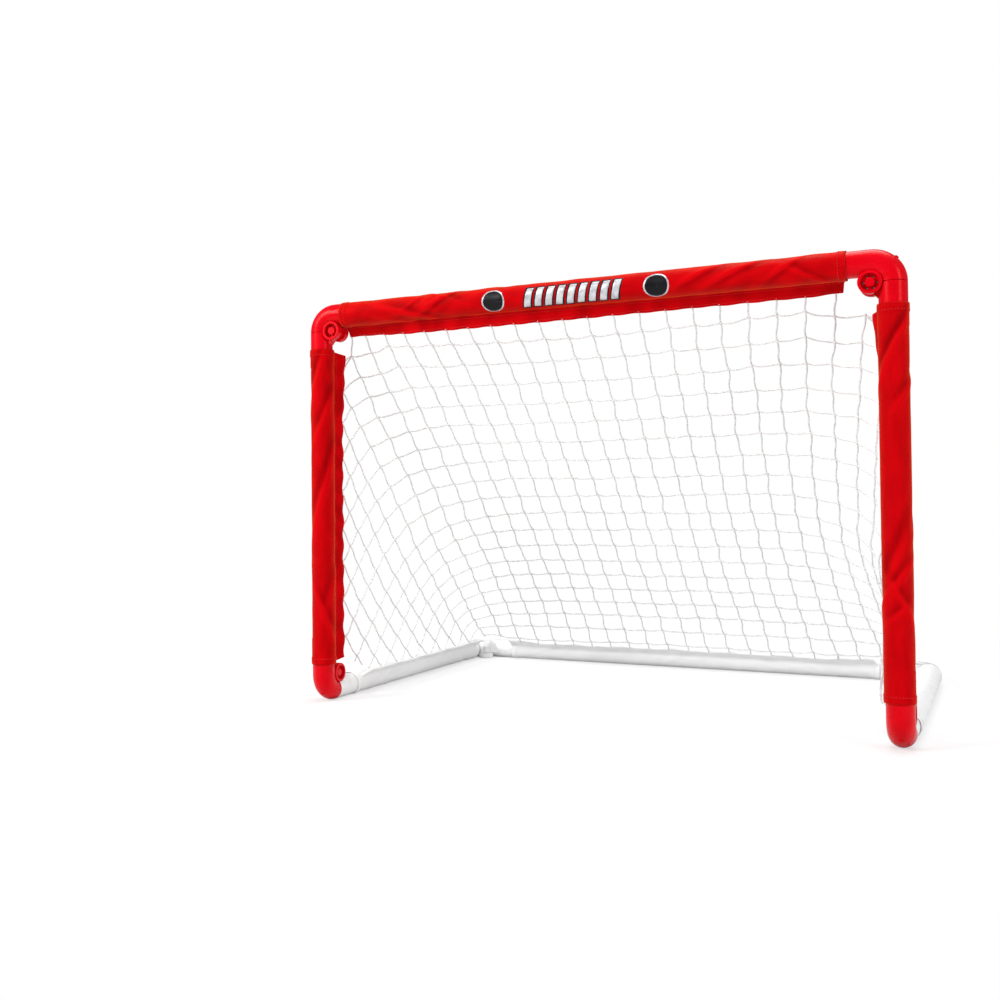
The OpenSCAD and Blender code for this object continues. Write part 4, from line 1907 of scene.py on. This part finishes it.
    def knots(self) -> dict[tuple[int, int], tuple[float, float]]:
        """Places of all knots, a little uneven.

        Returns:
            For each column and row, the distance across and down.
        """
        source = np.random.default_rng(self.seed)
        places = {}
        most = int(self.half_length.max() / self.pitch_across) + 2
        for row in range(self.rows):
            for column in range(-most, most + 1):
                shift = source.normal(0, self.uneven, 2)
                s = self.row_s(row, self.middle + column * self.pitch_across)
                a = self.column_a(column, s)
                inside = self.half(s) - self.edge_gap
                if row == 0 and inside <= abs(a) < inside + self.edge_band:
                    a = math.copysign(inside - self.edge_pull, a)
                if abs(a) < inside:
                    places[column, row] = (a + shift[0], s + shift[1])
        return places

    def strand(
        self, stops: list[tuple[float, float]], knotted: list[bool], crosswise: bool
    ) -> tuple[np.ndarray, np.ndarray]:
        """Draws one twine through its knots, with the slack between them.

        Args:
            stops: Places that it passes.
            knotted: Which of them carry a knot.
            crosswise: Whether it runs across the net, and so hangs between its knots.

        Returns:
            The points and which of them carry a knot.
        """
        places, flags = [], []
        steps = self.strand_steps
        for i, ((a0, s0), (a1, s1)) in enumerate(zip(stops, stops[1:])):
            t = np.arange(steps) / steps
            span = math.hypot(a1 - a0, s1 - s0) / self.pitch_across
            hang, bend = 4 * t * (1 - t) * span, np.sin(math.tau * t) * min(span, 1.0)
            a, s = a0 + (a1 - a0) * t, s0 + (s1 - s0) * t
            if crosswise:
                s = s + self.hang * hang + self.row_bend * bend
            else:
                a = a + self.column_bend * bend
            places += list(zip(a, s))
            flags += [knotted[i]] + [False] * (steps - 1)
        places.append(stops[-1])
        flags.append(knotted[-1])
        array = np.array(places)
        return self.surface(array[:, 0], array[:, 1]), np.array(flags)

    def edge_crossing(self, column: int, low: float, high: float) -> tuple[float, float]:
        """Where a side column meets the flap between two places.

        Args:
            column: The column.
            low: Distance down the slope at which it is outside the net.
            high: Distance at which it is inside.

        Returns:
            The place on the net's edge.
        """
        for _ in range(self.crossing_steps):
            mid = (low + high) / 2
            if abs(self.column_a(column, mid)) > self.half(mid):
                low = mid
            else:
                high = mid
        return math.copysign(float(self.half(high)), self.column_a(column, high)), high

    def column_strand(
        self, column: int, places: dict[tuple[int, int], tuple[float, float]]
    ) -> tuple[np.ndarray, np.ndarray]:
        """One lengthwise twine, from flap to flap.

        Args:
            column: Which one. At least one knot lies on it.
            places: The knots.

        Returns:
            Its points and which of them carry a knot.
        """
        rows = [r for r in range(self.rows) if (column, r) in places]
        stops = [places[column, r] for r in rows]
        knotted = [True] * len(stops)
        a_top = self.column_a(column, 0.0)
        left, right = self.flap_from - self.past_flap[0], self.flap_to + self.past_flap[1]
        if rows[0] <= 1 and left < a_top < right:
            stops.insert(0, (min(max(a_top, self.flap_from), self.flap_to), -self.sewn_in))
            knotted.insert(0, False)
        elif rows[0] > 0:
            above = self.row_s(rows[0] - 1, a_top)
            stops.insert(0, self.edge_crossing(column, above, stops[0][1]))
            knotted.insert(0, False)
        if rows[-1] == self.rows - 1:
            a_low = self.column_a(column, self.run)
            if abs(a_low) < self.rear_half:
                stops.append((a_low, self.run + self.sewn_in))
                knotted.append(False)
        else:
            below = self.row_s(rows[-1] + 1, a_top)
            stops.append(self.edge_crossing(column, below, stops[-1][1]))
            knotted.append(False)
        return self.strand(stops, knotted, crosswise=False)

    def strands(self) -> dict[int, list[tuple[np.ndarray, np.ndarray]]]:
        """All twines, sorted into the left side, the back and the right side.

        Returns:
            Lists of points and knot flags under -1, 0 and 1.
        """
        places = self.knots()
        columns = sorted({c for c, _ in places})
        back = [c for c in columns if abs(self.column_a(c, 0.0)) < self.last_back]
        parts: dict[int, list[tuple[np.ndarray, np.ndarray]]] = {-1: [], 0: [], 1: []}
        for column in columns:
            part = 0 if column in back else (1 if column > 0 else -1)
            parts[part].append(self.column_strand(column, places))
        for row in range(self.rows):
            across = [c for c in columns if (c, row) in places]
            stops = [places[c, row] for c in across if c in back]
            parts[0].append(self.strand(stops, [False] * len(stops), crosswise=True))
            left = [c for c in across if c <= back[0]]
            right = [c for c in across if c >= back[-1]]
            for side, chosen in ((-1, left), (1, right)):
                if not chosen:
                    continue
                stops = [places[c, row] for c in chosen]
                s_end = stops[-1][1] if side > 0 else stops[0][1]
                edge = (side * float(self.half(s_end)), s_end)
                if row < self.rows - 1:
                    stops = stops + [edge] if side > 0 else [edge] + stops
                parts[side].append(self.strand(stops, [False] * len(stops), crosswise=True))
        top = [c for c in columns if (c, 0) in places]
        for side, column in ((-1, top[0]), (1, top[-1])):
            a, s = places[column, 0]
            low = s + self.tie_drop
            stops = [(a, s), (side * float(self.half(low)), low)]
            parts[side].append(self.strand(stops, [False, False], crosswise=True))
        return parts

    def fold(self, obj: bpy.types.Object) -> None:
        """Bakes the net's transform into its mesh and reads its points, which it leaves as they
        are.

        Args:
            obj: The net.
        """
        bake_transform(obj)
        co = np.zeros(len(obj.data.vertices) * 3, np.float32)
        obj.data.vertices.foreach_get("co", co)
        co = co.reshape(-1, 3)

    def build(self, wardrobe: Wardrobe, twine: TwineTree) -> None:
        """Builds the three nets.

        Args:
            wardrobe: The finishes.
            twine: The tree that makes the twine.
        """
        names = {-1: "left_side_net", 0: "back_net", 1: "right_side_net"}
        for part, strands in self.strands().items():
            chains, flags = zip(*strands)
            obj = line_object(f"{names[part]}_twine", chains, closed=False, flags=flags)
            twine.bake(
                obj,
                Radius=self.twine_r,
                Sides=self.twine_sides,
                Knot_Size=self.knot_r,
                Seed=self.seed + part,
                Material=wardrobe.get(TWINE),
            )
            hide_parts(names[part])
            self.fold(obj)
            LOG.info("%s: %d triangles", obj.name, triangle_count(obj.data))


# ---- Rigid parts -----------------------------------------------------------------------------


class RigidParts:
    """Gives the mouldings, pins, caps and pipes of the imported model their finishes."""

    front_red: tuple[str, ...] = ("top_", "bottom_left_elbow", "bottom_right_elbow", "front_")

    def finish_of(self, node: str) -> Finish:
        """The finish of a node, from its name.

        Args:
            node: Name of a rigid node.

        Returns:
            Its finish.
        """
        if node.endswith("_pipe"):
            painted_red = "post" in node or "crossbar" in node
            return RED_PAINTED if painted_red else WHITE_PAINTED
        return RED_MOULDED if node.startswith(self.front_red) else WHITE_MOULDED

    def dress(self, nodes: dict[str, bpy.types.Object], wardrobe: Wardrobe) -> None:
        """Assigns the finishes.

        Args:
            nodes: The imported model's nodes.
            wardrobe: The finishes.
        """
        for name, obj in nodes.items():
            if name.endswith(("_sleeve", "_net")):
                continue
            material = wardrobe.get(self.finish_of(name))
            for slot in obj.material_slots:
                slot.material = material
            LOG.info("%s: %s", name, material.name)


# ---- Studio ----------------------------------------------------------------------------------


@dataclass(frozen=True)
class Lamp:
    """A soft rectangular lamp: where it stands, its width and height, and its power in watts."""

    name: str
    place: Point
    size: tuple[float, float]
    power: float

    def light(self, target: Point) -> None:
        """Puts the lamp into the scene.

        Args:
            target: What it points at.
        """
        data = bpy.data.lights.new(self.name, "AREA")
        data.shape = "RECTANGLE"
        data.size, data.size_y = self.size
        data.energy = self.power
        obj = linked_object(self.name, data)
        obj.location = self.place
        aim = Vector(target) - Vector(self.place)
        obj.rotation_euler = aim.to_track_quat("-Z", "Y").to_euler()


@dataclass(frozen=True)
class Studio:
    """Camera, pale floor and soft lamps."""

    eye: Point = (444.144 * MM, -1478.074 * MM, 252.063 * MM)
    yaw: float = 0.479
    pitch: float = 0.024
    roll: float = -0.008
    lens: float = 40.848
    sensor: float = 36.0
    shift: tuple[float, float] = (0.07869, -0.02386)
    floor_half: float = 6.0
    fade_from: float = 0.45
    fade_to: float = 0.95
    least_white: float = 0.55
    floor_bounce: float = 0.68
    floor_drop: float = 0.2 * MM
    world_light: float = 0.36
    mirrored_light: float = 0.14
    lamp_target: Point = (0.0, 0.0, 0.25)
    lamps: tuple[Lamp, ...] = (
        Lamp("key", (-1.6, -1.9, 1.5), (1.1, 1.1), 57.0),
        Lamp("fill", (2.2, -1.3, 0.9), (0.6, 1.7), 26.0),
        Lamp("top", (0.2, 0.3, 2.6), (1.8, 1.8), 44.0),
    )

    def camera(self) -> None:
        """Sets the camera."""
        data = bpy.data.cameras.new("camera")
        data.lens, data.sensor_width, data.sensor_fit = self.lens, self.sensor, "HORIZONTAL"
        data.shift_x, data.shift_y = self.shift
        data.clip_start, data.clip_end = 0.05, 50.0
        cam = linked_object("camera", data)
        cos_yaw, sin_yaw = math.cos(self.yaw), math.sin(self.yaw)
        cos_pitch, sin_pitch = math.cos(self.pitch), math.sin(self.pitch)
        cos_roll, sin_roll = math.cos(self.roll), math.sin(self.roll)
        forward = Vector((-sin_yaw * cos_pitch, cos_yaw * cos_pitch, sin_pitch))
        level = Vector((cos_yaw, sin_yaw, 0.0))
        upright = level.cross(forward)
        right = cos_roll * level + sin_roll * upright
        up = -sin_roll * level + cos_roll * upright
        turn = Matrix((right, up, -forward)).transposed().to_4x4()
        cam.matrix_world = Matrix.Translation(Vector(self.eye)) @ turn
        bpy.context.scene.camera = cam

    def world(self) -> None:
        """Soft even light, dimmer in mirrored rays, and a white backdrop past the goal."""
        world = bpy.data.worlds.new("studio")
        bpy.context.scene.world = world
        world.use_nodes = True
        canvas = NodeCanvas(world.node_tree)
        light = canvas.find("BACKGROUND")
        light.inputs["Color"].default_value = (1.0, 1.0, 1.0, 1.0)
        light.inputs["Strength"].default_value = self.world_light
        white = canvas.add("ShaderNodeBackground")
        white.inputs["Strength"].default_value = 1.0
        white.inputs["Color"].default_value = (1.0, 1.0, 1.0, 1.0)
        dim = canvas.add("ShaderNodeBackground")
        dim.inputs["Strength"].default_value = self.mirrored_light
        rays = canvas.add("ShaderNodeLightPath").outputs
        mirrored = canvas.mix_shaders(
            rays["Is Glossy Ray"], light.outputs["Background"], dim.outputs["Background"]
        )
        seen = canvas.mix_shaders(rays["Is Camera Ray"], mirrored, white.outputs["Background"])
        canvas.link(seen, canvas.find("OUTPUT_WORLD").inputs["Surface"])

    def floor(self) -> None:
        """A plain pale floor that keeps the goal's shadow and turns white away from the goal."""
        finish = Finish(
            "pale_floor", (0.93, 0.93, 0.93), (0.91, 0.91, 0.91), 0.8, patch_scale=3.0,
            specular=0.2,
        )
        h, z = self.floor_half, -self.floor_drop
        points = np.array([(-h, -h, z), (h, -h, z), (h, h, z), (-h, h, z)], float)
        material = finish.build()
        canvas = NodeCanvas(material.node_tree)
        shader = canvas.find("BSDF_PRINCIPLED")
        far = canvas.add("ShaderNodeVectorMath", operation="LENGTH")
        canvas.link(canvas.add("ShaderNodeTexCoord").outputs["Object"], far.inputs[0])
        fade = canvas.add("ShaderNodeMapRange", interpolation_type="SMOOTHSTEP")
        fade.inputs["From Min"].default_value = self.fade_from
        fade.inputs["From Max"].default_value = self.fade_to
        fade.inputs["To Min"].default_value = self.least_white
        canvas.link(far.outputs["Value"], fade.inputs["Value"])
        camera_ray = canvas.add("ShaderNodeLightPath").outputs["Is Camera Ray"]
        pale = canvas.add("ShaderNodeMix", data_type="RGBA")
        pale.inputs["A"].default_value = (*[self.floor_bounce] * 3, 1.0)
        canvas.link(camera_ray, pale.inputs["Factor"])
        canvas.link(shader.inputs["Base Color"].links[0].from_socket, pale.inputs["B"])
        canvas.link(pale.outputs["Result"], shader.inputs["Base Color"])
        white = canvas.add("ShaderNodeEmission")
        white.inputs["Color"].default_value = (1.0, 1.0, 1.0, 1.0)
        seen = canvas.calculate("MULTIPLY", fade.outputs["Result"], camera_ray)
        mix = canvas.mix_shaders(seen, shader.outputs["BSDF"], white.outputs["Emission"])
        canvas.link(mix, canvas.find("OUTPUT_MATERIAL").inputs["Surface"])
        obj = mesh_object("floor", points, [[0, 1, 2, 3]], material)

    def build(self) -> None:
        """Builds the whole studio."""
        self.camera()
        self.world()
        self.floor()
        for lamp in self.lamps:
            lamp.light(self.lamp_target)
        scene = bpy.context.scene
        scene.view_settings.view_transform = "Standard"


def main() -> None:
    """Builds the studio and every piece."""
    logging.basicConfig(level=logging.INFO, format="%(name)s: %(message)s")
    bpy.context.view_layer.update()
    Studio().build()
    wardrobe = Wardrobe()
    RigidParts().dress(frame["nodes"], wardrobe)
    sleeves = SleeveSet()
    sleeves.build(wardrobe, StitchTree())
    Print().build(sleeves.crossbar, wardrobe)
    net = KnottedNet(bar=sleeves.crossbar, post=sleeves.right_post, rear=sleeves.rear_bar)
    net.build(wardrobe, TwineTree())
    LOG.info("boxes written")


if __name__ == "__main__":
    main()
